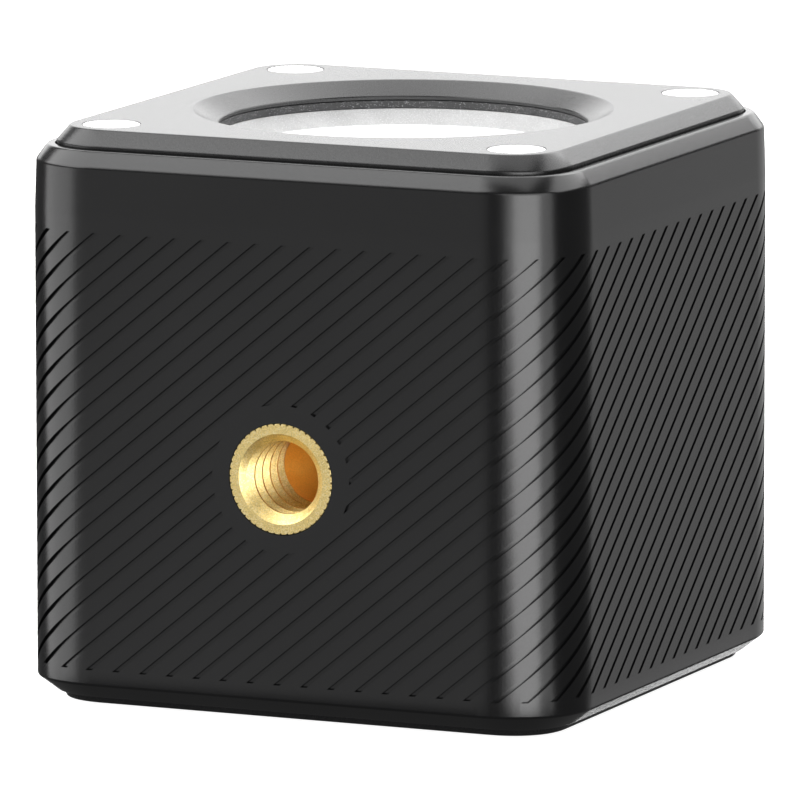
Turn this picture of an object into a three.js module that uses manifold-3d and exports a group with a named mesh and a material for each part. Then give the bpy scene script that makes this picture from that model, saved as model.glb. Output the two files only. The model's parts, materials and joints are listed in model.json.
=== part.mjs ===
// Cube-bodied fresnel spotlight, in millimetres.
// The light shines along +Z and the rear cover's outer face is z = 0, centred on x = y = 0.
// The tripod socket faces -Y, the charging port faces -X and the power button faces +Y.
import * as THREE from 'three';
import { mergeVertices } from 'three/addons/utils/BufferGeometryUtils.js';
import Module from 'manifold-3d';

const wasm = await Module();
wasm.setup();

// ---- Body ----
const bodyWidth = 42;
const bodyHeight = 40.7;
const bodyCorner = 6.2;            // where the corner curve starts, back from the corner
const cornerFullness = 0.62;       // handle of the corner curve; 0.55 would be a plain arc
const wall = 2.6;
const rearChamfer = { width: 1.4, height: 1.11 };
const frontChamfer = { width: 0.76, height: 1.07 };
const frontDraft = { inset: 0.11, height: 3.43 };
const frontRimWidth = 0.53;
const frontStep = 1.3;             // how far the bezel stands above the front rim

// ---- Rear cover and its screws ----
const coverThickness = 2;
const coverProud = 0.5;            // how far the cover stands out of the body
const coverGap = 0.15;
const coverPocketInset = 1.65;
const coverChamfer = { width: 0.22, height: 0.45 };
const gasketThickness = 0.54;
const screwBoss = { radius: 2.9, inset: 2.7, top: 10 };
const coverScrew = { radius: 1, length: 8, headRadius: 1.9, headHeight: 0.9, sunk: 0.15 };

// ---- Front bezel, magnets and lens stack ----
const bezelThickness = 3.2;
const bezelGap = 0.13;
const bezelChamfer = { width: 0.9, height: 1.06 };
const webThickness = 2.4;
const lensRadius = 13.9;
const lipOverlap = 0.84;           // how far the bezel's lip covers the lens stack's edge
const lipDepth = 1.25;
const mouth = { flare: 1.84, depth: 0.96 };
const skirtWall = 1.1;
const skirtLength = 3.1;
const baffleThickness = 0.55;
const dish = { height: 0.98, width: 2.3 };
const lensThickness = 1.6;
const lensRings = 5;
const lensRingDepth = 0.5;
const sealThickness = 0.9;
const sealWidth = 1.3;
const magnet = { radius: 2.05, thickness: 2, inset: 3.97 };
const keySocket = { radiusShare: 0.45, depthShare: 0.7, sides: 6 };   // of each screw's head
const bezelScrew = { radius: 0.9, length: 3.9, headRadius: 1.4, headHeight: 1, inset: 1.7, spread: 5 };

// ---- Light engine ----
const cup = { flangeThickness: 0.9, mouthInset: 1.7, throatRadius: 5.2, wall: 0.8, height: 7.2 };
const emitter = { side: 11, base: 0.5, radius: 4.4, height: 0.9 };
const ledBoard = { radius: 10.6, thickness: 1.2, screwReach: 8.6 };
const thermalPadThickness = 0.3;
const heatSink = { plate: 3.2, postRadius: 1.9, postInset: 3.1, postSpread: 9.3 };
const fin = { count: 3, thickness: 0.9, pitch: 1.9, inset: 0.7, halfLength: 11.5, height: 8.2 };
const sinkScrew = { radius: 0.9, headRadius: 1.5, headHeight: 1.1, grip: 1.6 };
const boardScrew = { radius: 0.8, length: 3, headRadius: 1.4, headHeight: 0.8 };
const wireNotch = { halfWidth: 3.2, depth: 3.6 };

// ---- Tripod socket (1/4 inch thread) ----
const insert = { radius: 3.9, length: 7, boreRadius: 2.6, boreDepth: 6.2, mouthRadius: 3.2 };
const insertHeight = 17.3;
const insertBossWall = 1.3;
const insertBossLength = 7.3;

// ---- Power button and its board ----
const button = { radius: 3.4, flangeRadius: 4.3, flangeThickness: 0.55, recess: 0.1, travel: 0.35 };
const buttonHeight = 17.3;
const buttonSeal = { thickness: 0.5, width: 1.1 };
const buttonPocketDepth = 0.9;
const plunger = { radius: 1.2, length: 1.8 };
const tactSwitch = { side: 6, thickness: 2.05, wellDepth: 1.6 };
const controlBoard = { halfWidth: 8.5, below: 5, above: 4.1, thickness: 1 };
const lightPipe = { radius: 0.8, flangeRadius: 1.3, flangeThickness: 0.8, reach: 6.2 };
const statusLed = { width: 1.6, height: 0.8, thickness: 0.6 };

// ---- Charging port and its door ----
const socket = { width: 8.94, height: 3.2, length: 7.3, wall: 0.3 };
const tongue = { thickness: 0.7, inset: 1.1, margin: 0.9 };
const socketGap = 0.15;
const portPocket = { depth: 1.8, height: 6.6, freeEnd: 6.05 };
const hinge = { reach: 6.3, radius: 0.75, pinRadius: 0.35, endRoom: 1.15, floorRoom: 0.15, pinGrip: 0.8 };
const door = { thickness: 1.1, height: 6.2, freeEnd: 5.9 };
const doorSeal = { thickness: 0.4, margin: 0.7, width: 0.6 };
const nailScoop = { radius: 2.2, depth: 0.7 };

// ---- Battery and electronics ----
const boardHeight = 5;
const boardThickness = 1.2;
const trayHeight = 10.8;
const trayThickness = 1;
const trayWall = 1;
const foamThickness = 1.2;
const traySideRoom = 4;
const trayPost = { x: 6, inset: 3, radius: 1.6 };
const batteryEdge = 1.2;
const foamInset = 2;
const connector = { width: 4.4, depth: 3, height: 2.8, inset: 4 };
const inductor = { side: 6, height: 3.2, x: 4, y: 0 };
const capacitor = { radius: 2.4, height: 3.8, x: 11, y: 5.5 };
const driverChip = { side: 4, height: 0.9, x: -2, y: 6 };
const wireSpread = 1.1;
const wireBend = 2;
const wireRadius = 0.5;

// ---- Fits ----
const runningGap = 0.1;            // between a moving piece and what guides it
const stackGap = 0.03;             // between pieces clamped on each other
const threadGap = 0.05;            // between a screw or insert and its hole
const partGap = 0.3;               // between neighbours that don't locate each other
const cutOver = 1;                 // how far a cut runs past the face it opens

// ---- Roundness ----
const fineSides = 40;
const mediumSides = 24;
const smallSides = 12;
const cornerSteps = 6;
const wireSteps = 14;
const wireHalfSides = 3;
const cupSteps = 4;
const weldDistance = 1e-4;         // corners closer than this are one corner

// ---- Places worked out from the sizes ----
const bodyHalf = bodyWidth / 2;
const rimZ = bodyHeight - frontStep;
const cavityHalf = bodyHalf - wall;
const ledgeZ = coverThickness + gasketThickness + 2 * stackGap;
const coverPocketHalf = bodyHalf - coverPocketInset;
const coverHalf = coverPocketHalf - coverGap;
const bezelPocketHalf = bodyHalf - frontDraft.inset - frontChamfer.width - frontRimWidth;
const bezelHalf = bezelPocketHalf - bezelGap;
const bezelZ = bodyHeight - bezelThickness;
const webTop = bezelZ - stackGap;
const webZ = webTop - webThickness;
const lipRadius = lensRadius - lipOverlap;
const mouthRadius = lipRadius + mouth.flare;
const dishInnerRadius = lensRadius - dish.width;
const cupMouthRadius = lensRadius - cup.mouthInset;
const lensBore = lensRadius + runningGap;
const skirtRadius = lensBore + skirtWall;
const skirtZ = bezelZ - skirtLength;
const baffleTop = bodyHeight - lipDepth - stackGap;
const dishTop = baffleTop - baffleThickness - stackGap;
const lensTop = dishTop - dish.height - stackGap;
const sealTop = lensTop - lensThickness - stackGap;
const flangeTop = sealTop - sealThickness - stackGap;
const throatZ = flangeTop - cup.flangeThickness - cup.height;
const ledBoardTop = throatZ - runningGap - emitter.base;
const padTop = ledBoardTop - ledBoard.thickness - stackGap;
const sinkTop = padTop - thermalPadThickness - stackGap;
const padRadius = ledBoard.screwReach - boardScrew.radius - partGap;
const sinkZ = sinkTop - heatSink.plate;
const sinkHalf = cavityHalf - threadGap;
const postX = cavityHalf - heatSink.postInset;
const magnetReach = bezelHalf - magnet.inset;
const bezelScrewY = cavityHalf - bezelScrew.inset;
const bezelScrewX = besideSkirt(bezelScrew.headRadius, bezelScrewY, bezelScrew.spread);
const postY = besideSkirt(heatSink.postRadius, postX, heatSink.postSpread);
const bossReach = cavityHalf - screwBoss.inset;
const insertBossRadius = insert.radius + threadGap + insertBossWall;
const insertBossEnd = -bodyHalf + insertBossLength;
const flangeOuterY = cavityHalf + buttonPocketDepth - buttonSeal.thickness - 2 * stackGap;
const flangeInnerY = flangeOuterY - button.flangeThickness;
const plungerEndY = flangeInnerY - stackGap - plunger.length;
const switchFaceY = flangeInnerY - button.travel - partGap;
const controlBoardFaceY = switchFaceY - tactSwitch.thickness - stackGap;
const controlBoardBackY = controlBoardFaceY - controlBoard.thickness;
const boardTop = boardHeight + boardThickness;
const portHeight = boardTop + stackGap + socket.height / 2;
const pocketFloorX = -bodyHalf + portPocket.depth;
const hingeX = pocketFloorX - hinge.radius - hinge.floorRoom;
const doorOuterX = hingeX - hinge.radius;
const doorInnerX = doorOuterX + door.thickness;
const trayTop = trayHeight + trayThickness;
const trayHalf = cavityHalf - partGap;
const trayBackY = controlBoardBackY - partGap - trayWall;
const batteryX = cavityHalf - traySideRoom - trayWall - partGap;
const batteryFrontY = insertBossEnd + partGap;
const batteryBackY = trayBackY - partGap;
const batteryZ = trayTop + stackGap;
const foamZ = sinkZ - partGap - foamThickness;
const batteryTop = foamZ - stackGap;
const boardReachX = cavityHalf - 2 * partGap;
const boardReachY = bossReach - screwBoss.radius - partGap;
const trayPostY = -boardReachY + trayPost.inset;
const ledWireX = cavityHalf - wireNotch.depth / 2 - wireRadius;
const connectorX = -ledWireX;
const connectorY = boardReachY - connector.inset;
const far = 2 * (bodyHeight + bodyWidth);

// How far from a wall's middle a round piece stands: its spread, or more where the skirt would reach it.
function besideSkirt(radius, wallDistance, spread) {
  const reach = skirtRadius + runningGap + partGap + radius;
  return Math.sqrt(Math.max(reach ** 2 - wallDistance ** 2, spread ** 2));
}

// ---- Solids ----
function solid(geometry) {
  const bare = geometry.index ? geometry.toNonIndexed() : geometry.clone();
  bare.deleteAttribute('normal');
  bare.deleteAttribute('uv');
  const merged = mergeVertices(bare, weldDistance);
  return new wasm.Manifold(new wasm.Mesh({
    numProp: 3,
    vertProperties: new Float32Array(merged.attributes.position.array),
    triVerts: new Uint32Array(merged.index.array),
  }));
}

function toGeometry(shape) {
  const { vertProperties, triVerts } = shape.getMesh();
  const geometry = new THREE.BufferGeometry();
  geometry.setAttribute('position', new THREE.BufferAttribute(vertProperties, 3));
  geometry.setIndex(new THREE.BufferAttribute(triVerts, 1));
  geometry.computeVertexNormals();
  return geometry;
}

// The corner curve keeps the same wall thickness when outlines are nested.
function roundedSquare(half) {
  const corner = Math.max(bodyCorner - (bodyHalf - half), wall / 2);
  const handle = corner * cornerFullness;
  const flat = half - corner;
  const shape = new THREE.Shape();
  shape.moveTo(half, flat);
  shape.bezierCurveTo(half, flat + handle, flat + handle, half, flat, half);
  shape.lineTo(-flat, half);
  shape.bezierCurveTo(-flat - handle, half, -half, flat + handle, -half, flat);
  shape.lineTo(-half, -flat);
  shape.bezierCurveTo(-half, -flat - handle, -flat - handle, -half, -flat, -half);
  shape.lineTo(flat, -half);
  shape.bezierCurveTo(flat + handle, -half, half, -flat - handle, half, -flat);
  shape.closePath();
  return shape;
}

function prism(outline, bottom, top) {
  const geometry = new THREE.ExtrudeGeometry(outline, {
    depth: top - bottom,
    bevelEnabled: false,
    curveSegments: cornerSteps,
  });
  return solid(geometry.translate(0, 0, bottom));
}

// A long prism that leans in by inset between the heights start and end, where it stops.
function leaningPrism(outline, start, end, inset) {
  const geometry = new THREE.ExtrudeGeometry(outline, {
    depth: far,
    bevelThickness: Math.abs(end - start),
    bevelSize: inset,
    bevelOffset: -inset,
    bevelSegments: 1,
    curveSegments: cornerSteps,
  });
  return solid(geometry.translate(0, 0, end > start ? start - far : start));
}

function box(x0, x1, y0, y1, z0, z1) {
  const geometry = new THREE.BoxGeometry(x1 - x0, y1 - y0, z1 - z0);
  return solid(geometry.translate((x0 + x1) / 2, (y0 + y1) / 2, (z0 + z1) / 2));
}

// A cylinder or cone along Z, from bottom to top, at the place (x, y).
function post(x, y, bottom, top, radius, sides = smallSides, topRadius = radius) {
  const geometry = new THREE.CylinderGeometry(topRadius, radius, top - bottom, sides);
  return solid(geometry.rotateX(Math.PI / 2).translate(x, y, (bottom + top) / 2));
}

// A cylinder along Y at the place (x, z).
function crossPost(x, z, y0, y1, radius, sides = smallSides) {
  const geometry = new THREE.CylinderGeometry(radius, radius, y1 - y0, sides);
  return solid(geometry.translate(x, (y0 + y1) / 2, z));
}

// A closed profile of [radius, height] points turned about Z, listed with the solid on the left.
function turned(profile, sides = fineSides) {
  const points = [...profile, profile[0]].map(([radius, height]) => new THREE.Vector2(radius, height));
  return solid(new THREE.LatheGeometry(points, sides).rotateX(Math.PI / 2));
}

function ring(inner, outer, bottom, top, sides = fineSides) {
  return turned([[inner, bottom], [outer, bottom], [outer, top], [inner, top]], sides);
}

// The same solid turned so that its +Z points along -Y, with its z = 0 at the given y.
function facingMinusY(shape, x, y, z) {
  return shape.rotate([90, 0, 0]).translate([x, y, z]);
}

function facingPlusY(shape, x, y, z) {
  return shape.rotate([-90, 0, 0]).translate([x, y, z]);
}

const corners = [[1, 1], [-1, 1], [-1, -1], [1, -1]];

// ---- The body ----
function bodyBlock() {
  const outline = roundedSquare(bodyHalf);
  const foot = leaningPrism(outline, coverProud + rearChamfer.height, coverProud, rearChamfer.width);
  const draftStart = rimZ - frontChamfer.height - frontDraft.height;
  const draftRun = rimZ - draftStart;
  const drafted = leaningPrism(outline, draftStart, rimZ, frontDraft.inset * draftRun / frontDraft.height);
  // the front chamfer's slope, carried on down and out past the body's face
  const wide = roundedSquare(bodyHalf + frontChamfer.width);
  const widest = frontDraft.inset + 2 * frontChamfer.width;
  const run = widest * frontChamfer.height / frontChamfer.width;
  return foot.intersect(drafted).intersect(leaningPrism(wide, rimZ - run, rimZ, widest));
}

function portCuts() {
  const low = portHeight - portPocket.height / 2;
  const high = portHeight + portPocket.height / 2;
  const pocketEnd = hinge.reach + hinge.endRoom;
  const pocket = box(-bodyHalf - cutOver, pocketFloorX, -portPocket.freeEnd, pocketEnd, low, high);
  const slotY = socket.width / 2 + socketGap;
  const slotZ = socket.height / 2 + socketGap;
  const slot = box(pocketFloorX - cutOver, -cavityHalf + cutOver, -slotY, slotY,
    portHeight - slotZ, portHeight + slotZ);
  const pinHole = post(hingeX, hinge.reach, low - hinge.pinGrip, high + hinge.pinGrip,
    hinge.pinRadius + threadGap);
  const { radius, depth } = nailScoop;
  const scoop = new THREE.CylinderGeometry(radius, radius, 2 * depth, mediumSides);
  const nail = solid(scoop.rotateZ(Math.PI / 2).translate(-bodyHalf, -portPocket.freeEnd, portHeight));
  return pocket.add(slot).add(pinHole).add(nail);
}

function bodySleeve() {
  const block = bodyBlock();
  let shape = block
    .subtract(prism(roundedSquare(cavityHalf), -cutOver, webZ))
    .subtract(prism(roundedSquare(coverPocketHalf), -cutOver, ledgeZ))
    .subtract(prism(roundedSquare(bezelPocketHalf), webTop, bodyHeight + cutOver))
    .subtract(post(0, 0, webZ - cutOver, webTop + cutOver, skirtRadius + runningGap, fineSides));
  for (const [x, y] of corners) {
    const boss = post(x * bossReach, y * bossReach, ledgeZ, screwBoss.top, screwBoss.radius, mediumSides);
    shape = shape.add(boss.intersect(block));
    shape = shape.subtract(post(x * bossReach, y * bossReach, -cutOver,
      coverScrew.sunk + coverScrew.length + cutOver, coverScrew.radius + threadGap));
    shape = shape.subtract(post(x * postX, y * postY, webZ - cutOver,
      webZ + sinkScrew.grip + threadGap, sinkScrew.radius + threadGap));
  }
  for (const [x, y] of corners) {
    shape = shape.subtract(post(x * bezelScrewX, y * bezelScrewY, webZ - cutOver, webTop + cutOver,
      bezelScrew.radius + threadGap));
  }
  shape = shape.add(crossPost(0, insertHeight, -bodyHalf + wall / 2, insertBossEnd, insertBossRadius,
    mediumSides));
  return shape
    .subtract(crossPost(0, insertHeight, -bodyHalf - cutOver, insertBossEnd + cutOver,
      insert.radius + threadGap, mediumSides))
    .subtract(crossPost(0, buttonHeight, 0, bodyHalf + cutOver, button.radius + runningGap, mediumSides))
    .subtract(crossPost(0, buttonHeight, 0, cavityHalf + buttonPocketDepth,
      button.flangeRadius + buttonSeal.width / 2, mediumSides))
    .subtract(crossPost(lightPipe.reach, buttonHeight, 0, bodyHalf + cutOver, lightPipe.radius + threadGap))
    .subtract(portCuts());
}

// ---- Rear end ----
function rearCover() {
  const outline = roundedSquare(coverHalf);
  let shape = prism(outline, 0, coverThickness)
    .intersect(leaningPrism(outline, coverChamfer.height, 0, coverChamfer.width));
  for (const [x, y] of corners) {
    shape = shape.subtract(post(x * bossReach, y * bossReach, -cutOver, coverThickness + cutOver,
      coverScrew.radius + threadGap));
    shape = shape.subtract(post(x * bossReach, y * bossReach, -cutOver,
      coverScrew.sunk + coverScrew.headHeight + threadGap, coverScrew.headRadius + threadGap, mediumSides));
  }
  return shape;
}

function rearGasket() {
  const bottom = coverThickness + stackGap;
  const top = bottom + gasketThickness;
  return prism(roundedSquare(coverHalf), bottom, top)
    .subtract(prism(roundedSquare(cavityHalf + threadGap), bottom - cutOver, top + cutOver));
}

// A pan-head screw with a hexagon socket: the head starts at z = 0 and the shank runs to +Z.
function screw({ radius, headRadius, headHeight }, length) {
  const shank = post(0, 0, 0, length, radius);
  const head = post(0, 0, 0, headHeight, headRadius, mediumSides);
  const key = post(0, 0, -cutOver, headHeight * keySocket.depthShare, headRadius * keySocket.radiusShare,
    keySocket.sides);
  return head.add(shank).subtract(key);
}

// ---- Front end ----
function frontBezel() {
  const outline = roundedSquare(bezelHalf);
  const mouthSlope = mouth.flare / mouth.depth;
  let shape = prism(outline, bezelZ, bodyHeight)
    .intersect(leaningPrism(outline, bodyHeight - bezelChamfer.height, bodyHeight, bezelChamfer.width))
    .add(post(0, 0, skirtZ, bezelZ + cutOver, skirtRadius, fineSides))
    .subtract(post(0, 0, bodyHeight - mouth.depth, bodyHeight + cutOver, lipRadius, fineSides,
      mouthRadius + mouthSlope * cutOver))
    .subtract(post(0, 0, skirtZ - cutOver, bodyHeight + cutOver, lipRadius, fineSides))
    .subtract(post(0, 0, skirtZ - cutOver, bodyHeight - lipDepth, lensBore, fineSides));
  for (const [x, y] of corners) {
    shape = shape.subtract(post(x * magnetReach, y * magnetReach, bodyHeight - magnet.thickness - stackGap,
      bodyHeight + cutOver, magnet.radius + threadGap, mediumSides));
  }
  const holeTop = webZ + bezelScrew.length;
  for (const [x, y] of corners) {
    shape = shape.subtract(post(x * bezelScrewX, y * bezelScrewY, bezelZ - cutOver, holeTop,
      bezelScrew.radius + threadGap));
  }
  return shape;
}

function lensDish() {
  const bottom = dishTop - dish.height;
  return turned([
    [dishInnerRadius, bottom],
    [lensRadius, bottom],
    [lensRadius, dishTop],
    [lipRadius, dishTop],
  ]);
}

// The light side is flat, and the stepped rings face the emitter.
function fresnelLens() {
  const bottom = lensTop - lensThickness;
  const pitch = dishInnerRadius / lensRings;
  const steps = [];
  for (let i = 0; i < lensRings; i++) {
    steps.push([i * pitch, bottom + (i ? lensRingDepth : 0)]);
    steps.push([(i + 1) * pitch, bottom]);
  }
  return turned([...steps, [lensRadius, bottom], [lensRadius, lensTop], [0, lensTop]]);
}

// ---- Light engine ----
function reflectorCup() {
  const flangeZ = flangeTop - cup.flangeThickness;
  const inner = [];
  const outer = [];
  for (let i = 0; i <= cupSteps; i++) {
    const rise = i / cupSteps;
    // the bowl opens fast at the throat and runs almost straight to its mouth
    const radius = cup.throatRadius + (cupMouthRadius - cup.throatRadius) * Math.sqrt(rise);
    inner.push([radius, throatZ + (flangeTop - throatZ) * rise]);
    outer.push([radius + cup.wall, throatZ + (flangeZ - throatZ) * rise]);
  }
  return turned([...outer, [lensRadius, flangeZ], [lensRadius, flangeTop], ...inner.reverse()]);
}

function ledEmitter() {
  const half = emitter.side / 2;
  const bottom = ledBoardTop + stackGap;
  return box(-half, half, -half, half, bottom, bottom + emitter.base - stackGap)
    .add(post(0, 0, bottom, bottom + emitter.height, emitter.radius, mediumSides));
}

function ledBoardDisc() {
  let shape = post(0, 0, ledBoardTop - ledBoard.thickness, ledBoardTop, ledBoard.radius, fineSides);
  for (const y of [-1, 1]) {
    shape = shape.subtract(post(0, y * ledBoard.screwReach, sinkTop, ledBoardTop + cutOver,
      boardScrew.radius + threadGap));
  }
  return shape;
}

function heatSinkBlock() {
  let shape = prism(roundedSquare(sinkHalf), sinkZ, sinkTop);
  const postTop = webZ - threadGap;
  for (const [x, y] of corners) {
    shape = shape.add(post(x * postX, y * postY, sinkTop - cutOver, postTop,
      heatSink.postRadius));
  }
  for (let i = 0; i < fin.count; i++) {
    const y = sinkHalf - fin.inset - i * fin.pitch;
    for (const side of [-1, 1]) {
      const edges = [side * y - fin.thickness / 2, side * y + fin.thickness / 2];
      shape = shape.add(box(-fin.halfLength, fin.halfLength, ...edges, sinkTop - cutOver,
        sinkTop + fin.height));
    }
  }
  for (const [x, y] of corners) {
    shape = shape.subtract(post(x * postX, y * postY, sinkZ - cutOver, postTop + cutOver,
      sinkScrew.radius + threadGap));
    shape = shape.subtract(post(x * postX, y * postY, sinkZ - cutOver,
      sinkZ + sinkScrew.headHeight + threadGap, sinkScrew.headRadius + threadGap, mediumSides));
  }
  for (const y of [-1, 1]) {
    shape = shape.subtract(post(0, y * ledBoard.screwReach, ledBoardTop - boardScrew.length - threadGap,
      sinkTop + cutOver, boardScrew.radius + threadGap));
  }
  const notch = box(sinkHalf - wireNotch.depth, sinkHalf + cutOver, -wireNotch.halfWidth, wireNotch.halfWidth,
    sinkZ - cutOver, sinkTop + cutOver);
  const controlRoom = box(-controlBoard.halfWidth - partGap, controlBoard.halfWidth + partGap,
    controlBoardBackY - partGap, bodyHalf, sinkZ - cutOver, buttonHeight + controlBoard.above + partGap);
  const cupRoom = post(0, 0, ledBoardTop, webZ + cutOver, cupMouthRadius + cup.wall + partGap, fineSides);
  return shape.subtract(notch).subtract(controlRoom).subtract(cupRoom).subtract(insertRoom());
}

// The space around the tripod socket's boss that the inner pieces keep clear.
function insertRoom() {
  return crossPost(0, insertHeight, -bodyHalf, insertBossEnd + partGap, insertBossRadius + partGap,
    mediumSides);
}

// ---- Tripod socket ----
function tripodInsert() {
  const chamfer = insert.mouthRadius - insert.boreRadius;
  const profile = [
    [0, -insert.length],
    [insert.radius, -insert.length],
    [insert.radius, 0],
    [insert.mouthRadius, 0],
    [insert.boreRadius, -chamfer],
    [insert.boreRadius, -insert.boreDepth],
    [0, -insert.boreDepth],
  ];
  return facingMinusY(turned(profile, mediumSides), 0, -bodyHalf, insertHeight);
}

// ---- Power button ----
function powerButton() {
  const faceY = bodyHalf - button.recess;
  return crossPost(0, buttonHeight, flangeInnerY, flangeOuterY, button.flangeRadius, mediumSides)
    .add(crossPost(0, buttonHeight, flangeInnerY, faceY, button.radius, mediumSides));
}

function buttonSealRing() {
  const outer = button.flangeRadius + buttonSeal.width / 2 - threadGap;
  const shape = ring(button.radius + runningGap, outer, 0, buttonSeal.thickness, mediumSides);
  return facingPlusY(shape, 0, flangeOuterY + stackGap, buttonHeight);
}

function tactSwitchBody() {
  const half = tactSwitch.side / 2;
  const back = switchFaceY - tactSwitch.thickness;
  return box(-half, half, back, switchFaceY, buttonHeight - half, buttonHeight + half)
    .subtract(crossPost(0, buttonHeight, switchFaceY - tactSwitch.wellDepth, switchFaceY + cutOver,
      plunger.radius + runningGap));
}

function lightPipeRod() {
  const innerY = controlBoardFaceY + statusLed.thickness + partGap;
  const flangeY = cavityHalf - threadGap;
  return crossPost(lightPipe.reach, buttonHeight, innerY, bodyHalf - threadGap, lightPipe.radius)
    .add(crossPost(lightPipe.reach, buttonHeight, flangeY - lightPipe.flangeThickness, flangeY,
      lightPipe.flangeRadius));
}

// ---- Charging port ----
function usbSocket() {
  const front = pocketFloorX + threadGap;
  const back = front + socket.length;
  const y = socket.width / 2;
  const z = socket.height / 2;
  const w = socket.wall;
  const shell = box(front, back, -y, y, portHeight - z, portHeight + z);
  const hollow = box(front - cutOver, back - w, -y + w, y - w, portHeight - z + w, portHeight + z - w);
  const blade = box(front + tongue.inset, back, -y + tongue.margin, y - tongue.margin,
    portHeight - tongue.thickness / 2, portHeight + tongue.thickness / 2);
  return shell.subtract(hollow).add(blade);
}

function portDoor() {
  const z0 = portHeight - door.height / 2;
  const z1 = portHeight + door.height / 2;
  const plateEnd = hinge.reach - hinge.radius;
  return box(doorOuterX, doorInnerX, -door.freeEnd, plateEnd, z0, z1)
    .add(box(doorOuterX, hingeX, plateEnd - hinge.radius, hinge.reach, z0, z1))
    .add(post(hingeX, hinge.reach, z0, z1, hinge.radius, mediumSides))
    .subtract(post(hingeX, hinge.reach, z0 - cutOver, z1 + cutOver, hinge.pinRadius + runningGap));
}

function doorSealFrame() {
  const inner = doorInnerX + stackGap;
  const outer = inner + doorSeal.thickness;
  const y = socket.width / 2 + doorSeal.margin;
  const z = socket.height / 2 + doorSeal.margin;
  const w = doorSeal.width;
  return box(inner, outer, -y, y, portHeight - z, portHeight + z)
    .subtract(box(inner - cutOver, outer + cutOver, -y + w, y - w, portHeight - z + w, portHeight + z - w));
}

// ---- Battery and electronics ----
function batteryTray() {
  let shape = prism(roundedSquare(trayHalf), trayHeight, trayTop);
  const trayMiddle = trayTop - trayThickness / 2;
  const wallTop = batteryTop - trayWall;
  const wallIn = batteryX + partGap;
  for (const x of [-1, 1]) {
    const edges = x > 0 ? [wallIn, wallIn + trayWall] : [-wallIn - trayWall, -wallIn];
    shape = shape.add(box(...edges, batteryFrontY + trayWall, -wireNotch.halfWidth - trayWall,
      trayMiddle, wallTop));
  }
  shape = shape.add(box(-batteryX, batteryX, trayBackY, trayBackY + trayWall, trayMiddle, wallTop));
  for (const [x, y] of corners) {
    shape = shape.add(post(x * bossReach, y * bossReach, screwBoss.top + stackGap, trayMiddle,
      screwBoss.radius - trayWall, mediumSides));
  }
  for (const x of [-1, 1]) {
    shape = shape.add(post(x * trayPost.x, trayPostY, boardTop + stackGap, trayMiddle, trayPost.radius));
    shape = shape.subtract(post(x * trayPost.x, trayPostY, boardTop - cutOver,
      boardHeight + boardScrew.length + threadGap, boardScrew.radius + threadGap));
  }
  const ledNotch = box(trayHalf - wireNotch.depth, trayHalf + cutOver,
    -wireNotch.halfWidth, wireNotch.halfWidth, trayHeight - cutOver, trayTop + cutOver);
  const batteryNotch = box(-trayHalf - cutOver, connectorX + connector.depth / 2 + partGap,
    connectorY - connector.width / 2 - partGap, connectorY + connector.width / 2 + partGap,
    trayHeight - cutOver, trayTop + cutOver);
  return shape.subtract(ledNotch).subtract(batteryNotch).subtract(insertRoom());
}

function driverBoard() {
  let shape = box(-boardReachX, boardReachX, -boardReachY, boardReachY, boardHeight, boardTop);
  for (const x of [-1, 1]) {
    shape = shape.subtract(post(x * trayPost.x, trayPostY, boardHeight - cutOver, boardTop + cutOver,
      boardScrew.radius + threadGap));
  }
  return shape;
}

// A square component standing on a board.
function squareBlock({ side, height, x, y }, base) {
  return box(x - side / 2, x + side / 2, y - side / 2, y + side / 2, base, base + height);
}

function batteryCell() {
  const outline = new THREE.Shape();
  const x = batteryX;
  const edge = batteryEdge;
  outline.moveTo(-x + edge, batteryFrontY);
  outline.lineTo(x - edge, batteryFrontY);
  outline.quadraticCurveTo(x, batteryFrontY, x, batteryFrontY + edge);
  outline.lineTo(x, batteryBackY - edge);
  outline.quadraticCurveTo(x, batteryBackY, x - edge, batteryBackY);
  outline.lineTo(-x + edge, batteryBackY);
  outline.quadraticCurveTo(-x, batteryBackY, -x, batteryBackY - edge);
  outline.lineTo(-x, batteryFrontY + edge);
  outline.quadraticCurveTo(-x, batteryFrontY, -x + edge, batteryFrontY);
  return prism(outline, batteryZ, batteryTop);
}

function wire(route) {
  const section = new THREE.Shape();
  section.absarc(0, 0, wireRadius, 0, 2 * Math.PI);
  const path = new THREE.CatmullRomCurve3(route.map((point) => new THREE.Vector3(...point)));
  return solid(new THREE.ExtrudeGeometry(section, {
    steps: wireSteps,
    curveSegments: wireHalfSides,
    extrudePath: path,
  }));
}

// Up from the driver board, through the notches, and over the heat sink to the emitter's board.
function ledWire(y) {
  const over = ledBoardTop + 2 * wireRadius;
  return wire([
    [ledWireX, y, boardTop + partGap],
    [ledWireX, y, (boardTop + sinkZ) / 2],
    [ledWireX, y, sinkZ],
    [ledWireX, y, sinkTop],
    [ledWireX - wireBend, y, over],
    [ledBoard.radius - wireRadius, y, over],
    [ledBoard.radius - wireBend, y, ledBoardTop + wireRadius],
  ]);
}

// Out of the battery's side and straight down into its connector.
function batteryWire(y) {
  const outX = connectorX;
  const startZ = (batteryZ + batteryTop) / 2;
  return wire([
    [-batteryX - partGap, y, startZ],
    [outX + wireRadius, y, startZ - wireRadius],
    [outX, y, startZ - wireBend],
    [outX, y, trayHeight],
    [outX, y, boardTop + connector.height + partGap],
  ]);
}

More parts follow.
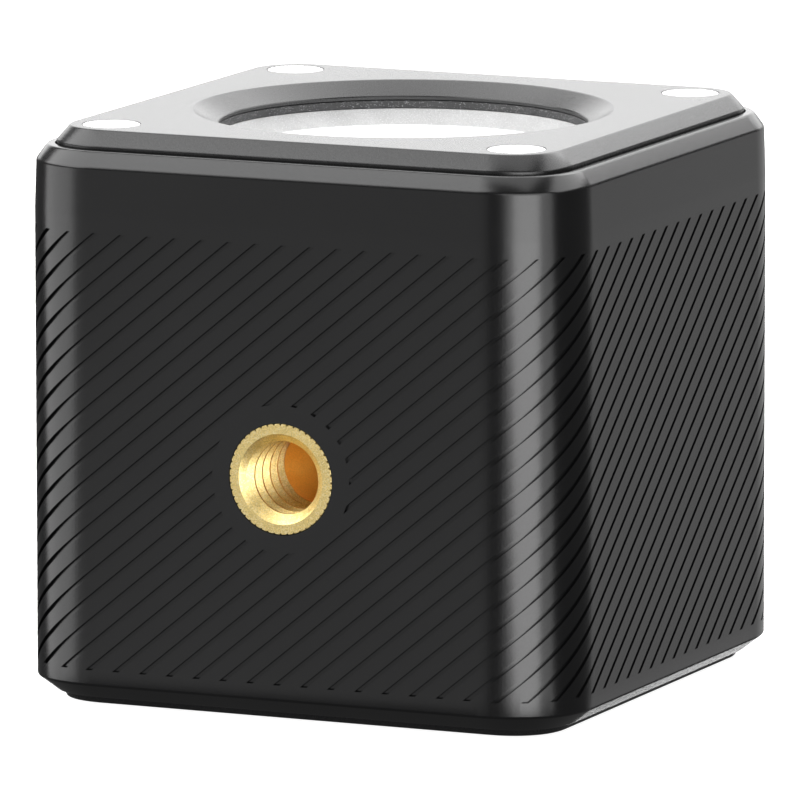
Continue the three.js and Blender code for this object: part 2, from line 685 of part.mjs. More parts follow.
// ---- The assembly ----
const finishes = {
  anodised: [0x2c2d2f, 0.42, 0.85],
  bezelBlack: [0x303133, 0.38, 0.85],
  magnetNickel: [0xf4f4f4, 0.08, 1],
  darkPaint: [0x3a3a3c, 0.7, 0.2],
  whiteDiffuser: [0xe9e9e8, 0.6, 0],
  clearLens: [0xffffff, 0.15, 0],
  blackRubber: [0x1c1c1d, 0.9, 0],
  mirrorAluminium: [0xd8dadd, 0.12, 1],
  bareAluminium: [0xb4b7bb, 0.4, 1],
  phosphor: [0xf2d24a, 0.6, 0],
  whiteBoard: [0xe6e8ea, 0.5, 0.1],
  greyPad: [0x9a9da3, 0.85, 0],
  steel: [0x8d9095, 0.3, 1],
  blackSteel: [0x232324, 0.4, 0.9],
  brass: [0xc9a55a, 0.25, 1],
  silverPouch: [0xa9adb2, 0.45, 0.4],
  foam: [0x2f3033, 0.95, 0],
  blackPlastic: [0x1f2022, 0.6, 0],
  greenBoard: [0x1f5a3a, 0.5, 0],
  chipBlack: [0x18191a, 0.5, 0],
  ferrite: [0x3d3f42, 0.7, 0.1],
  capacitorGrey: [0x6f7479, 0.4, 0.6],
  whitePlastic: [0xe8e6df, 0.5, 0],
  softBlack: [0x242527, 0.8, 0],
  clearPlastic: [0xf0f4f6, 0.1, 0],
  redWire: [0xa82018, 0.5, 0],
  blackWire: [0x1a1a1a, 0.5, 0],
};

const spotlight = new THREE.Group();

function add(name, shape, finish) {
  const [color, roughness, metalness] = finishes[finish];
  const material = new THREE.MeshStandardMaterial({ color, roughness, metalness });
  const mesh = new THREE.Mesh(toGeometry(shape), material);
  mesh.name = name;
  spotlight.add(mesh);
  return mesh;
}

function addShell() {
  add('body_sleeve', bodySleeve(), 'anodised');
  add('rear_cover', rearCover(), 'bezelBlack');
  add('rear_gasket', rearGasket(), 'blackRubber');
  const coverScrewShape = screw(coverScrew, coverScrew.length);
  corners.forEach(([x, y], i) => {
    const mesh = add(`rear_screw_${i + 1}`, coverScrewShape, 'blackSteel');
    mesh.position.set(x * bossReach, y * bossReach, coverScrew.sunk);
  });
  add('tripod_insert', tripodInsert(), 'brass');
}

function addFront() {
  add('front_bezel', frontBezel(), 'bezelBlack');
  const disc = post(0, 0, -magnet.thickness, 0, magnet.radius, mediumSides);
  corners.forEach(([x, y], i) => {
    const mesh = add(`corner_magnet_${i + 1}`, disc, 'magnetNickel');
    mesh.position.set(x * magnetReach, y * magnetReach, bodyHeight);
  });
  const rearSide = screw(bezelScrew, bezelScrew.length + bezelScrew.headHeight);
  corners.forEach(([x, y], i) => {
    const mesh = add(`bezel_screw_${i + 1}`, rearSide, 'steel');
    mesh.position.set(x * bezelScrewX, y * bezelScrewY, webZ - threadGap - bezelScrew.headHeight);
  });
  add('baffle_ring', ring(lipRadius, lensRadius, baffleTop - baffleThickness, baffleTop), 'darkPaint');
  add('lens_dish', lensDish(), 'whiteDiffuser');
  add('fresnel_lens', fresnelLens(), 'clearLens');
  add('lens_seal', ring(lensRadius - sealWidth, lensRadius, sealTop - sealThickness, sealTop), 'blackRubber');
}

function addLightEngine() {
  add('reflector_cup', reflectorCup(), 'mirrorAluminium');
  add('led_emitter', ledEmitter(), 'phosphor');
  add('led_board', ledBoardDisc(), 'whiteBoard');
  add('thermal_pad', post(0, 0, padTop - thermalPadThickness, padTop, padRadius, fineSides), 'greyPad');
  add('heat_sink', heatSinkBlock(), 'bareAluminium');
  const sinkScrewLength = webZ + sinkScrew.grip - sinkZ;
  const long = screw(sinkScrew, sinkScrewLength);
  corners.forEach(([x, y], i) => {
    const mesh = add(`heat_sink_screw_${i + 1}`, long, 'steel');
    mesh.position.set(x * postX, y * postY, sinkZ);
  });
  const short = screw(boardScrew, boardScrew.length + boardScrew.headHeight).rotate([180, 0, 0]);
  [-1, 1].forEach((y, i) => {
    const mesh = add(`led_board_screw_${i + 1}`, short, 'steel');
    mesh.position.set(0, y * ledBoard.screwReach, ledBoardTop + stackGap + boardScrew.headHeight);
  });
}

function addControls() {
  add('power_button', powerButton(), 'softBlack');
  add('switch_plunger', crossPost(0, buttonHeight, plungerEndY, plungerEndY + plunger.length, plunger.radius),
    'whitePlastic');
  add('button_seal', buttonSealRing(), 'blackRubber');
  add('tact_switch', tactSwitchBody(), 'chipBlack');
  add('control_board', box(-controlBoard.halfWidth, controlBoard.halfWidth,
    controlBoardBackY, controlBoardFaceY,
    buttonHeight - controlBoard.below, buttonHeight + controlBoard.above), 'greenBoard');
  const led = statusLed;
  add('status_led', box(lightPipe.reach - led.width / 2, lightPipe.reach + led.width / 2,
    controlBoardFaceY + stackGap, controlBoardFaceY + stackGap + led.thickness,
    buttonHeight - led.height / 2, buttonHeight + led.height / 2), 'whitePlastic');
  add('status_light_pipe', lightPipeRod(), 'clearPlastic');
}

function addPort() {
  add('usb_socket', usbSocket(), 'steel');
  add('port_door', portDoor(), 'softBlack');
  add('door_seal', doorSealFrame(), 'blackRubber');
  const grip = portPocket.height / 2 + hinge.pinGrip - threadGap;
  add('door_hinge_pin', post(hingeX, hinge.reach, portHeight - grip, portHeight + grip,
    hinge.pinRadius), 'steel');
}

function addPower() {
  add('battery_tray', batteryTray(), 'blackPlastic');
  add('battery_cell', batteryCell(), 'silverPouch');
  const foamX = batteryX - foamInset;
  add('battery_foam', box(-foamX, foamX, batteryFrontY + foamInset, batteryBackY - foamInset,
    foamZ, foamZ + foamThickness), 'foam');
  add('driver_board', driverBoard(), 'greenBoard');
  const upward = screw(boardScrew, boardScrew.length + boardScrew.headHeight);
  [-1, 1].forEach((x, i) => {
    const mesh = add(`driver_board_screw_${i + 1}`, upward, 'steel');
    mesh.position.set(x * trayPost.x, trayPostY, boardHeight - stackGap - boardScrew.headHeight);
  });
  const base = boardTop + stackGap;
  add('inductor', squareBlock(inductor, base), 'ferrite');
  const can = capacitor;
  add('capacitor', post(can.x, can.y, base, base + can.height, can.radius, mediumSides), 'capacitorGrey');
  add('driver_chip', squareBlock(driverChip, base), 'chipBlack');
  add('battery_connector', box(connectorX - connector.depth / 2, connectorX + connector.depth / 2,
    connectorY - connector.width / 2, connectorY + connector.width / 2, base, base + connector.height),
  'whitePlastic');
  add('battery_wire_positive', batteryWire(connectorY + wireSpread), 'redWire');
  add('battery_wire_negative', batteryWire(connectorY - wireSpread), 'blackWire');
  add('led_wire_positive', ledWire(wireSpread + wireRadius), 'redWire');
  add('led_wire_negative', ledWire(-wireSpread - wireRadius), 'blackWire');
}

addShell();
addFront();
addLightEngine();
addControls();
addPort();
addPower();

export default spotlight;
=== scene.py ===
import json
import math
import bmesh
import bpy
from mathutils import Matrix, Vector
from mathutils.geometry import interpolate_bezier


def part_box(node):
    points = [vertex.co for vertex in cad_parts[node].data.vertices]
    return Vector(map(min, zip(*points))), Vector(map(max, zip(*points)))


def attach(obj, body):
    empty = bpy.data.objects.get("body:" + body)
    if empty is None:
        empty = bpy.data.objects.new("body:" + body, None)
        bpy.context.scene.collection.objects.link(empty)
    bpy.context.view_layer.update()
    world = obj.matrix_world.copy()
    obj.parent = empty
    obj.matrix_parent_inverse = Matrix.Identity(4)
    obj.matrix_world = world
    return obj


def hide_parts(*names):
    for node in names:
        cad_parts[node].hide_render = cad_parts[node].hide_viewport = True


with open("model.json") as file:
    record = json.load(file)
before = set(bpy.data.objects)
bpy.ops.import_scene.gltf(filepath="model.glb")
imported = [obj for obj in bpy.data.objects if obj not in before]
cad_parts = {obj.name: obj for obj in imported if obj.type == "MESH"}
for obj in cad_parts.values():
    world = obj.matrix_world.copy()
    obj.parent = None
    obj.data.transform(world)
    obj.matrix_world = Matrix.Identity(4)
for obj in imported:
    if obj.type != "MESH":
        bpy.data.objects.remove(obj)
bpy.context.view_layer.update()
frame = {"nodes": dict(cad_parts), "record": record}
cadNodes = frame["nodes"]

# The light shines along +Z, its tripod socket faces -Y, its charging port -X and its button +Y.
mm = 0.001
upright = Matrix.Identity(4)
towardMinusY = Matrix.Rotation(math.radians(90), 4, "X")
towardPlusY = Matrix.Rotation(math.radians(-90), 4, "X")
cornerSigns = ((1, 1), (-1, 1), (-1, -1), (1, -1))
overrun = 1.0  # how far a cutter runs past the face it opens, in mm


def boxInMm(node):
    low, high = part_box(node)
    return low / mm, high / mm


def middleInMm(node):
    low, high = boxInMm(node)
    return (low + high) / 2


def newGroup(name, inputs, outputs):
    group = bpy.data.node_groups.new(name, "ShaderNodeTree")
    for label, kind, value in inputs:
        item = group.interface.new_socket(label, in_out="INPUT", socket_type=kind)
        item.default_value = value
    for label, kind in outputs:
        group.interface.new_socket(label, in_out="OUTPUT", socket_type=kind)
    start = group.nodes.new("NodeGroupInput")
    end = group.nodes.new("NodeGroupOutput")
    return group, start, end


def addNode(tree, kind, inputs=None, **settings):
    node = tree.nodes.new(kind)
    for key, value in settings.items():
        setattr(node, key, value)
    for key, value in (inputs or {}).items():
        if isinstance(value, bpy.types.NodeSocket):
            tree.links.new(value, node.inputs[key])
        else:
            node.inputs[key].default_value = value
    return node


def remap(tree, value, fromMin, fromMax, toMin, toMax):
    node = addNode(tree, "ShaderNodeMapRange", {
        "Value": value, "From Min": fromMin, "From Max": fromMax, "To Min": toMin, "To Max": toMax})
    return node.outputs["Result"]


def mixColor(tree, factor, a, b, blend="MIX"):
    node = addNode(tree, "ShaderNodeMix", data_type="RGBA", blend_type=blend)
    for socket, value in ((node.inputs[0], factor), (node.inputs[6], a), (node.inputs[7], b)):
        if isinstance(value, bpy.types.NodeSocket):
            tree.links.new(value, socket)
        else:
            socket.default_value = value
    return node.outputs[2]


def buildGrainGroup():
    # fine grain and broad cloudiness, with the grain drawn out along the axes by Stretch
    group, start, end = newGroup("surfaceGrain", [
        ("Scale", "NodeSocketFloat", 4000.0),
        ("Stretch", "NodeSocketVector", (1.0, 1.0, 1.0)),
        ("Cloud Scale", "NodeSocketFloat", 120.0),
    ], [("Grain", "NodeSocketFloat"), ("Cloud", "NodeSocketFloat")])
    place = addNode(group, "ShaderNodeTexCoord").outputs["Object"]
    drawn = addNode(group, "ShaderNodeMapping", {"Vector": place, "Scale": start.outputs["Stretch"]})
    fine = addNode(group, "ShaderNodeTexNoise", {
        "Vector": drawn.outputs[0], "Scale": start.outputs["Scale"], "Detail": 2.0, "Roughness": 0.6})
    broad = addNode(group, "ShaderNodeTexNoise", {
        "Vector": place, "Scale": start.outputs["Cloud Scale"], "Detail": 3.0})
    group.links.new(remap(group, fine.outputs["Fac"], 0.3, 0.7, 0.0, 1.0), end.inputs["Grain"])
    group.links.new(remap(group, broad.outputs["Fac"], 0.35, 0.65, 0.0, 1.0), end.inputs["Cloud"])
    return group


def buildWearGroup():
    # outer edges, broken up so that a rubbed edge is never even
    group, start, end = newGroup("edgeWear", [
        ("Amount", "NodeSocketFloat", 0.3),
        ("Breakup Scale", "NodeSocketFloat", 900.0),
    ], [("Mask", "NodeSocketFloat")])
    pointiness = addNode(group, "ShaderNodeNewGeometry").outputs["Pointiness"]
    edge = remap(group, pointiness, 0.52, 0.62, 0.0, 1.0)
    place = addNode(group, "ShaderNodeTexCoord").outputs["Object"]
    patches = addNode(group, "ShaderNodeTexNoise", {
        "Vector": place, "Scale": start.outputs["Breakup Scale"], "Detail": 4.0})
    broken = remap(group, patches.outputs["Fac"], 0.4, 0.6, 0.0, 1.0)
    worn = addNode(group, "ShaderNodeMath", {0: edge, 1: broken}, operation="MULTIPLY")
    scaled = addNode(group, "ShaderNodeMath", {0: worn.outputs[0], 1: start.outputs["Amount"]},
                     operation="MULTIPLY", use_clamp=True)
    group.links.new(scaled.outputs[0], end.inputs["Mask"])
    return group


def buildSpeckleGroup():
    # scattered bright flecks in a rough coating
    group, start, end = newGroup("speckle", [
        ("Scale", "NodeSocketFloat", 6000.0),
        ("Share", "NodeSocketFloat", 0.1),
    ], [("Mask", "NodeSocketFloat")])
    place = addNode(group, "ShaderNodeTexCoord").outputs["Object"]
    cells = addNode(group, "ShaderNodeTexVoronoi", {"Vector": place, "Scale": start.outputs["Scale"]})
    chosen = addNode(group, "ShaderNodeSeparateColor", {"Color": cells.outputs["Color"]})
    mask = addNode(group, "ShaderNodeMath", {0: chosen.outputs[0], 1: start.outputs["Share"]},
                   operation="LESS_THAN")
    group.links.new(mask.outputs[0], end.inputs["Mask"])
    return group


grainGroup = buildGrainGroup()
wearGroup = buildWearGroup()
speckleGroup = buildSpeckleGroup()

# what a finish has unless it says otherwise, with sizes in mm
plainLook = dict(metallic=0.0, clear=0.0, anisotropic=0.0, coat=0.0, coatRoughness=0.1, sheen=0.0,
                 stretch=(1, 1, 1), grainTone=0.06, bump=0.1, bumpHeight=0.01)
shaderSockets = dict(metallic="Metallic", clear="Transmission Weight", anisotropic="Anisotropic",
                     coat="Coat Weight", coatRoughness="Coat Roughness", sheen="Sheen Weight")


def makeFinish(name, ownLook):
    look = {**plainLook, **ownLook}
    material = bpy.data.materials.new(name)
    material.use_nodes = True
    tree = material.node_tree
    shader = tree.nodes["Principled BSDF"]
    for key, socket in shaderSockets.items():
        shader.inputs[socket].default_value = look[key]

    grain = addNode(tree, "ShaderNodeGroup", {
        "Scale": 1 / (look["grain"] * mm), "Stretch": look["stretch"],
        "Cloud Scale": 1 / (look["cloud"] * mm)}, node_tree=grainGroup)

    color = mixColor(tree, grain.outputs["Cloud"], (*look["color"], 1), (*look["color2"], 1))
    tone = look["grainTone"]
    shade = addNode(tree, "ShaderNodeCombineColor")
    grainShade = remap(tree, grain.outputs["Grain"], 0.0, 1.0, 1 - tone, 1 + tone)
    for channel in range(3):
        tree.links.new(grainShade, shade.inputs[channel])
    color = mixColor(tree, 1.0, color, shade.outputs[0], "MULTIPLY")

    low, high = look["roughness"]
    roughness = remap(tree, grain.outputs["Grain"], 0.0, 1.0, low, high)

    if "fleck" in look:
        flecks = addNode(tree, "ShaderNodeGroup", {
            "Scale": 1 / (look["fleckSize"] * mm), "Share": look["fleckShare"]}, node_tree=speckleGroup)
        color = mixColor(tree, flecks.outputs["Mask"], color, (*look["fleck"], 1))

    if "worn" in look:
        wear = addNode(tree, "ShaderNodeGroup", {"Amount": look["wear"]}, node_tree=wearGroup)
        color = mixColor(tree, wear.outputs["Mask"], color, (*look["worn"], 1))

    tree.links.new(color, shader.inputs["Base Color"])
    tree.links.new(roughness, shader.inputs["Roughness"])
    # painted light: a glow colour makes the surface emit light though it is no lamp, as a painted reflection
    if "glow" in look:
        glow = mixColor(tree, grain.outputs["Grain"], (*look["glow"], 1), (*look["glow2"], 1))
        tree.links.new(glow, shader.inputs["Emission Color"])
        shader.inputs["Emission Strength"].default_value = look["glowStrength"]
    bump = addNode(tree, "ShaderNodeBump", {
        "Strength": look["bump"], "Distance": look["bumpHeight"] * mm, "Height": grain.outputs["Grain"]})
    tree.links.new(bump.outputs["Normal"], shader.inputs["Normal"])
    return material


finishLooks = {
    "body_anodised": dict(
        color=(0.0045, 0.0045, 0.0047), color2=(0.0036, 0.0036, 0.0038), roughness=(0.2, 0.25), grain=0.08,
        grainTone=0.06, cloud=9.0, bump=0.3, bumpHeight=0.004),
    "bezel_anodised": dict(
        color=(0.0075, 0.0075, 0.0078), color2=(0.0062, 0.0062, 0.0065), roughness=(0.24, 0.3), grain=0.05,
        grainTone=0.06, cloud=9.0, bump=0.3, bumpHeight=0.004),
    "magnet_nickel": dict(
        color=(0.93, 0.93, 0.93), color2=(0.97, 0.97, 0.97), metallic=1.0, roughness=(0.2, 0.28),
        grain=0.08, cloud=2.0, bump=0.04, bumpHeight=0.002, grainTone=0.02),
    "baffle_paint": dict(
        color=(0.032, 0.032, 0.033), color2=(0.045, 0.045, 0.046), roughness=(0.6, 0.8), grain=0.07,
        cloud=1.5, grainTone=0.3, bump=0.5, bumpHeight=0.03, fleck=(0.2, 0.2, 0.2), fleckSize=0.06,
        fleckShare=0.08),
    "white_diffuser": dict(
        color=(0.44, 0.44, 0.44), color2=(0.49, 0.49, 0.49), roughness=(0.55, 0.8), grain=0.09, cloud=2.0,
        grainTone=0.14, bump=0.4, bumpHeight=0.02, fleck=(0.64, 0.64, 0.64), fleckSize=0.05, fleckShare=0.06),
    # painted light: the lens glows though it is no lamp, standing in for the bright reflection of the white
    # surroundings in its face
    "lens_clear": dict(
        color=(0.95, 0.95, 0.95), color2=(0.98, 0.98, 0.98), roughness=(0.1, 0.2), grain=0.2, cloud=4.0,
        grainTone=0.02, bump=0.02, glow=(1.0, 1.0, 1.0), glow2=(0.97, 0.98, 1.0), glowStrength=1.1),
    "black_rubber": dict(
        color=(0.012, 0.012, 0.012), color2=(0.018, 0.018, 0.018), roughness=(0.65, 0.85), grain=0.06,
        cloud=3.0, bump=0.3, bumpHeight=0.01, sheen=0.2),
    "soft_black": dict(
        color=(0.02, 0.02, 0.021), color2=(0.026, 0.026, 0.027), roughness=(0.5, 0.65), grain=0.05,
        cloud=4.0, bump=0.25, bumpHeight=0.008, sheen=0.15, worn=(0.06, 0.06, 0.06), wear=0.2),
    "bare_aluminium": dict(
        color=(0.56, 0.57, 0.58), color2=(0.48, 0.49, 0.5), metallic=1.0, roughness=(0.28, 0.45),
        grain=0.05, stretch=(1.0, 0.06, 1.0), cloud=6.0, bump=0.15, bumpHeight=0.006, anisotropic=0.4),
    "mirror_aluminium": dict(
        color=(0.86, 0.87, 0.88), color2=(0.9, 0.9, 0.91), metallic=1.0, roughness=(0.05, 0.12),
        grain=0.4, cloud=3.0, bump=0.1, bumpHeight=0.01),
    "phosphor": dict(
        color=(0.86, 0.66, 0.1), color2=(0.92, 0.74, 0.16), roughness=(0.5, 0.7), grain=0.08, cloud=1.2,
        bump=0.3, bumpHeight=0.01),
    "board_white": dict(
        color=(0.78, 0.8, 0.82), color2=(0.84, 0.85, 0.86), roughness=(0.3, 0.45), grain=0.1, cloud=4.0,
        bump=0.1, coat=0.3),
    "board_green": dict(
        color=(0.012, 0.11, 0.05), color2=(0.018, 0.15, 0.07), roughness=(0.25, 0.4), grain=0.15,
        cloud=1.2, bump=0.2, coat=0.4, fleck=(0.7, 0.5, 0.2), fleckSize=0.5, fleckShare=0.04),
    "grey_pad": dict(
        color=(0.3, 0.31, 0.33), color2=(0.36, 0.37, 0.39), roughness=(0.75, 0.9), grain=0.1, cloud=2.0,
        bump=0.3),
    "steel": dict(
        color=(0.5, 0.51, 0.53), color2=(0.42, 0.43, 0.45), metallic=1.0, roughness=(0.2, 0.32), grain=0.05,
        cloud=2.0, bump=0.1, worn=(0.75, 0.75, 0.76), wear=0.4),
    "black_steel": dict(
        color=(0.025, 0.025, 0.027), color2=(0.035, 0.035, 0.037), metallic=0.9, roughness=(0.3, 0.42),
        grain=0.05, cloud=1.5, bump=0.12, worn=(0.2, 0.2, 0.21), wear=0.5),
    "brass": dict(
        color=(0.8, 0.62, 0.25), color2=(0.86, 0.67, 0.28), metallic=1.0, roughness=(0.36, 0.5), grain=0.1,
        cloud=1.5, grainTone=0.25, bump=0.6, bumpHeight=0.01, fleck=(0.92, 0.76, 0.4), fleckSize=0.08,
        fleckShare=0.2),
    # painted light: deep orange standing in for the warm light that bounces round inside the brass bore
    "painted_bounce_orange": dict(
        color=(0.95, 0.37, 0.03), color2=(0.97, 0.42, 0.05), metallic=0.3, roughness=(0.4, 0.55), grain=0.08,
        cloud=1.2, grainTone=0.1, bump=0.5, bumpHeight=0.012),
    "silver_pouch": dict(
        color=(0.42, 0.43, 0.45), color2=(0.5, 0.51, 0.52), metallic=0.6, roughness=(0.35, 0.5), grain=0.3,
        cloud=3.0, bump=0.3, bumpHeight=0.05),
    "black_foam": dict(
        color=(0.022, 0.022, 0.024), color2=(0.035, 0.035, 0.037), roughness=(0.85, 1.0), grain=0.25,
        cloud=1.5, grainTone=0.4, bump=0.8, bumpHeight=0.1),
    "black_plastic": dict(
        color=(0.016, 0.016, 0.017), color2=(0.022, 0.022, 0.023), roughness=(0.45, 0.6), grain=0.12,
        cloud=5.0, bump=0.3, bumpHeight=0.015),
    "component_black": dict(
        color=(0.014, 0.014, 0.015), color2=(0.02, 0.02, 0.021), roughness=(0.4, 0.55), grain=0.05,
        cloud=1.0, bump=0.2),
    "component_grey": dict(
        color=(0.42, 0.43, 0.45), color2=(0.5, 0.5, 0.52), metallic=0.9, roughness=(0.25, 0.4), grain=0.05,
        stretch=(1.0, 1.0, 0.1), cloud=2.0, bump=0.1),
    "white_plastic": dict(
        color=(0.78, 0.76, 0.7), color2=(0.84, 0.82, 0.77), roughness=(0.35, 0.5), grain=0.08, cloud=2.0,
        bump=0.15),
    "clear_plastic": dict(
        color=(0.9, 0.92, 0.93), color2=(0.95, 0.96, 0.96), roughness=(0.12, 0.22), grain=0.1, cloud=1.0,
        bump=0.05, clear=0.7),
    "red_wire": dict(
        color=(0.5, 0.02, 0.012), color2=(0.6, 0.03, 0.02), roughness=(0.35, 0.5), grain=0.08, cloud=3.0,
        bump=0.15),
    "black_wire": dict(
        color=(0.015, 0.015, 0.016), color2=(0.02, 0.02, 0.021), roughness=(0.35, 0.5), grain=0.08, cloud=3.0,
        bump=0.15),
    "contact_gold": dict(
        color=(0.8, 0.58, 0.24), color2=(0.86, 0.64, 0.3), metallic=1.0, roughness=(0.15, 0.25), grain=0.04,
        cloud=1.0, bump=0.05),
}
finishes = {name: makeFinish(name, look) for name, look in finishLooks.items()}
print(f"finishes: {len(finishes)}")


def addPiece(name, bm, slot, replaced=(), body="housing", finish=None, smoothAngle=35.0, weighted=False,
             creases=()):
    # a finished bmesh, drawn in mm, becomes a piece that rides on a body and stands for CAD nodes;
    # its level edges at the heights in creases stay crisp, however flat the angle there
    bmesh.ops.triangulate(bm, faces=[face for face in bm.faces if len(face.verts) > 4])
    bmesh.ops.scale(bm, vec=(mm, mm, mm), verts=bm.verts)
    mesh = bpy.data.meshes.new(name)
    bm.to_mesh(mesh)
    bm.free()
    mesh.validate()
    mesh.shade_smooth()
    mesh.set_sharp_from_angle(angle=math.radians(smoothAngle))
    for edge in mesh.edges:
        heights = [mesh.vertices[index].co.z / mm for index in edge.vertices]
        if any(max(abs(height - crease) for height in heights) < 1e-3 for crease in creases):
            edge.use_edge_sharp = True
    mesh.materials.append(finishes[finish or slot])
    piece = bpy.data.objects.new(name, mesh)
    bpy.context.scene.collection.objects.link(piece)
    if weighted:
        evener = piece.modifiers.new("evenNormals", "WEIGHTED_NORMAL")
        evener.keep_sharp = True
        evener.mode = "FACE_AREA_WITH_ANGLE"
    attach(piece, body)
    if replaced:
        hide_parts(*replaced)
    return piece


def tidyNormals(bm):
    bmesh.ops.remove_doubles(bm, verts=bm.verts, dist=1e-4)
    bmesh.ops.recalc_face_normals(bm, faces=bm.faces)
    return bm


def turned(profile, steps=128, matrix=upright):
    # a closed profile of (radius, height) points spun about Z
    bm = bmesh.new()
    verts = [bm.verts.new((radius, 0, height)) for radius, height in profile]
    edges = [bm.edges.new((verts[i - 1], verts[i])) for i in range(len(verts))]
    bmesh.ops.spin(bm, geom=verts + edges, cent=(0, 0, 0), axis=(0, 0, 1), angle=math.tau, steps=steps,
                   use_merge=True)
    tidyNormals(bm)
    bmesh.ops.transform(bm, matrix=matrix, verts=bm.verts)
    return bm


def rod(x, y, bottom, top, radius, sides=96, topRadius=None, matrix=upright):
    bm = bmesh.new()
    place = matrix @ Matrix.Translation((x, y, (bottom + top) / 2))
    bmesh.ops.create_cone(bm, cap_ends=True, segments=sides, radius1=radius,
                          radius2=radius if topRadius is None else topRadius, depth=top - bottom,
                          matrix=place)
    return bm


def seat(bm, x, y, z, turn=upright):
    bmesh.ops.transform(bm, matrix=Matrix.Translation((x, y, z)) @ turn, verts=bm.verts)
    return bm


def block(low, high):
    bm = bmesh.new()
    size = Vector(high) - Vector(low)
    place = Matrix.Translation((Vector(low) + Vector(high)) / 2) @ Matrix.Diagonal((*size, 1))
    bmesh.ops.create_cube(bm, size=1, matrix=place)
    return bm


def roundEdges(bm, edges, width, segments=2):
    bmesh.ops.bevel(bm, geom=edges, offset=width, segments=segments, affect="EDGES", profile=0.5, material=-1)
    return bm


def sharpEdges(bm, angle=30.0):
    limit = math.radians(angle)
    return [e for e in bm.edges if len(e.link_faces) == 2 and e.calc_face_angle(0) > limit]


def edgesAlong(bm, axis, least):
    # the edges that run at least this far along X (0), Y (1) or Z (2)
    return [e for e in bm.edges if abs(e.verts[0].co[axis] - e.verts[1].co[axis]) > least]


def joined(parts):
    whole = bmesh.new()
    for part in parts:
        mesh = bpy.data.meshes.new("joining")
        part.to_mesh(mesh)
        part.free()
        whole.from_mesh(mesh)
        bpy.data.meshes.remove(mesh)
    return whole


def combine(bm, tool, operation="DIFFERENCE"):
    # the boolean of two bmeshes, both used up
    holders = []
    for part in (bm, tool):
        mesh = bpy.data.meshes.new("boolean")
        part.to_mesh(mesh)
        part.free()
        holder = bpy.data.objects.new("boolean", mesh)
        bpy.context.scene.collection.objects.link(holder)
        holders.append(holder)
    target, cutter = holders
    modifier = target.modifiers.new("boolean", "BOOLEAN")
    modifier.operation = operation
    modifier.solver = "MANIFOLD"
    modifier.object = cutter
    graph = bpy.context.evaluated_depsgraph_get()
    result = bmesh.new()
    result.from_mesh(target.evaluated_get(graph).to_mesh())
    for holder in holders:
        mesh = holder.data
        bpy.data.objects.remove(holder)
        bpy.data.meshes.remove(mesh)
    return result


# the square outline with its full corners
outlineSize = dict(half=21.0, corner=6.2, fullness=0.62, least=1.3, steps=40)


def cornerCurve(half):
    # one corner, from the +X side to the +Y side
    corner = max(outlineSize["corner"] - (outlineSize["half"] - half), outlineSize["least"])
    flat = half - corner
    handle = flat + corner * outlineSize["fullness"]
    return interpolate_bezier((half, flat), (half, handle), (handle, half), (flat, half),
                              outlineSize["steps"])


def squareOutline(half):
    points = []
    for quarter in range(4):
        turn = Matrix.Rotation(quarter * math.pi / 2, 2)
        points += [turn @ Vector(point) for point in cornerCurve(half)]
    return points


def extrudeCap(bm, ring, points, first):
    # carries the end face of a growing solid on to new points, and gives its new corners in the same order
    cap = bm.faces.get(ring)
    raised = bmesh.ops.extrude_face_region(bm, geom=[cap])["geom"]
    if not first:
        bmesh.ops.delete(bm, geom=[cap], context="FACES_ONLY")
    end = next(item for item in raised if isinstance(item, bmesh.types.BMFace))
    fresh = list(end.verts)
    start = min(range(len(fresh)), key=lambda i: (fresh[i].co - ring[0].co).length)
    fresh = fresh[start:] + fresh[:start]
    for vert, point in zip(fresh, points):
        vert.co = point
    return fresh


def loft(bm, sections):
    # a closed solid through sections that have the same number of points
    ring = [bm.verts.new(point) for point in sections[0]]
    bm.faces.new(ring)
    for i, section in enumerate(sections[1:]):
        ring = extrudeCap(bm, ring, section, i == 0)


def stack(levels):
    # a solid through the square outline at each (half width, height), listed upwards
    bm = bmesh.new()
    loft(bm, [[Vector((*point, height)) for point in squareOutline(half)] for half, height in levels])
    return tidyNormals(bm)


def levelEdges(bm, heights):
    # the edges that run round the outline at these heights
    return [e for e in bm.edges if any(all(abs(v.co.z - z) < 1e-3 for v in e.verts) for z in heights)]


sleeveSize = dict(
    rearChamfer=(1.4, 1.11), frontChamfer=(0.76, 1.07), draft=(0.11, 3.43), edgeRound=0.14,
    cavityHalf=18.4, webBottom=35.07, webTop=37.47, coverPocketHalf=19.35, ledge=2.6, bezelPocketHalf=19.6,
    skirtBore=15.2, bossReach=15.7, bossRadius=2.9, bossTop=10.0, screwHole=1.05)
grooveSize = dict(perQuarter=19, pitch=2.07, rise=0.818, first=-14.87, width=0.5, depth=0.26, low=2.7,
                  high=33.76, plainRound=5.24, plainPipe=2.0, plainPort=1.1, plainDeep=3.0, plainCorner=1.2)


def perimeterTable():
    # (distance from the middle of the -Y side, place, outward direction) round one quarter of the body,
    # with the corner's distances stretched so that a quarter holds a whole number of grooves
    half = outlineSize["half"]
    flat = half - outlineSize["corner"]
    curve = [Matrix.Rotation(-math.pi / 2, 2) @ Vector(point) for point in cornerCurve(half)]
    lengths = [0.0]
    for a, b in zip(curve, curve[1:]):
        lengths.append(lengths[-1] + (b - a).length)
    quarter = grooveSize["perQuarter"] * grooveSize["pitch"]
    stretch = (quarter - 2 * flat) / lengths[-1]
    table = [(-flat, Vector((-flat, -half)), Vector((0, -1)))]
    for i, point in enumerate(curve):
        along = curve[min(i + 1, len(curve) - 1)] - curve[max(i - 1, 0)]
        outward = Vector((along.y, -along.x)).normalized()
        if i == 0:
            outward = Vector((0, -1))
        if i == len(curve) - 1:
            outward = Vector((1, 0))
        table.append((flat + lengths[i] * stretch, point, outward))
    return table, quarter


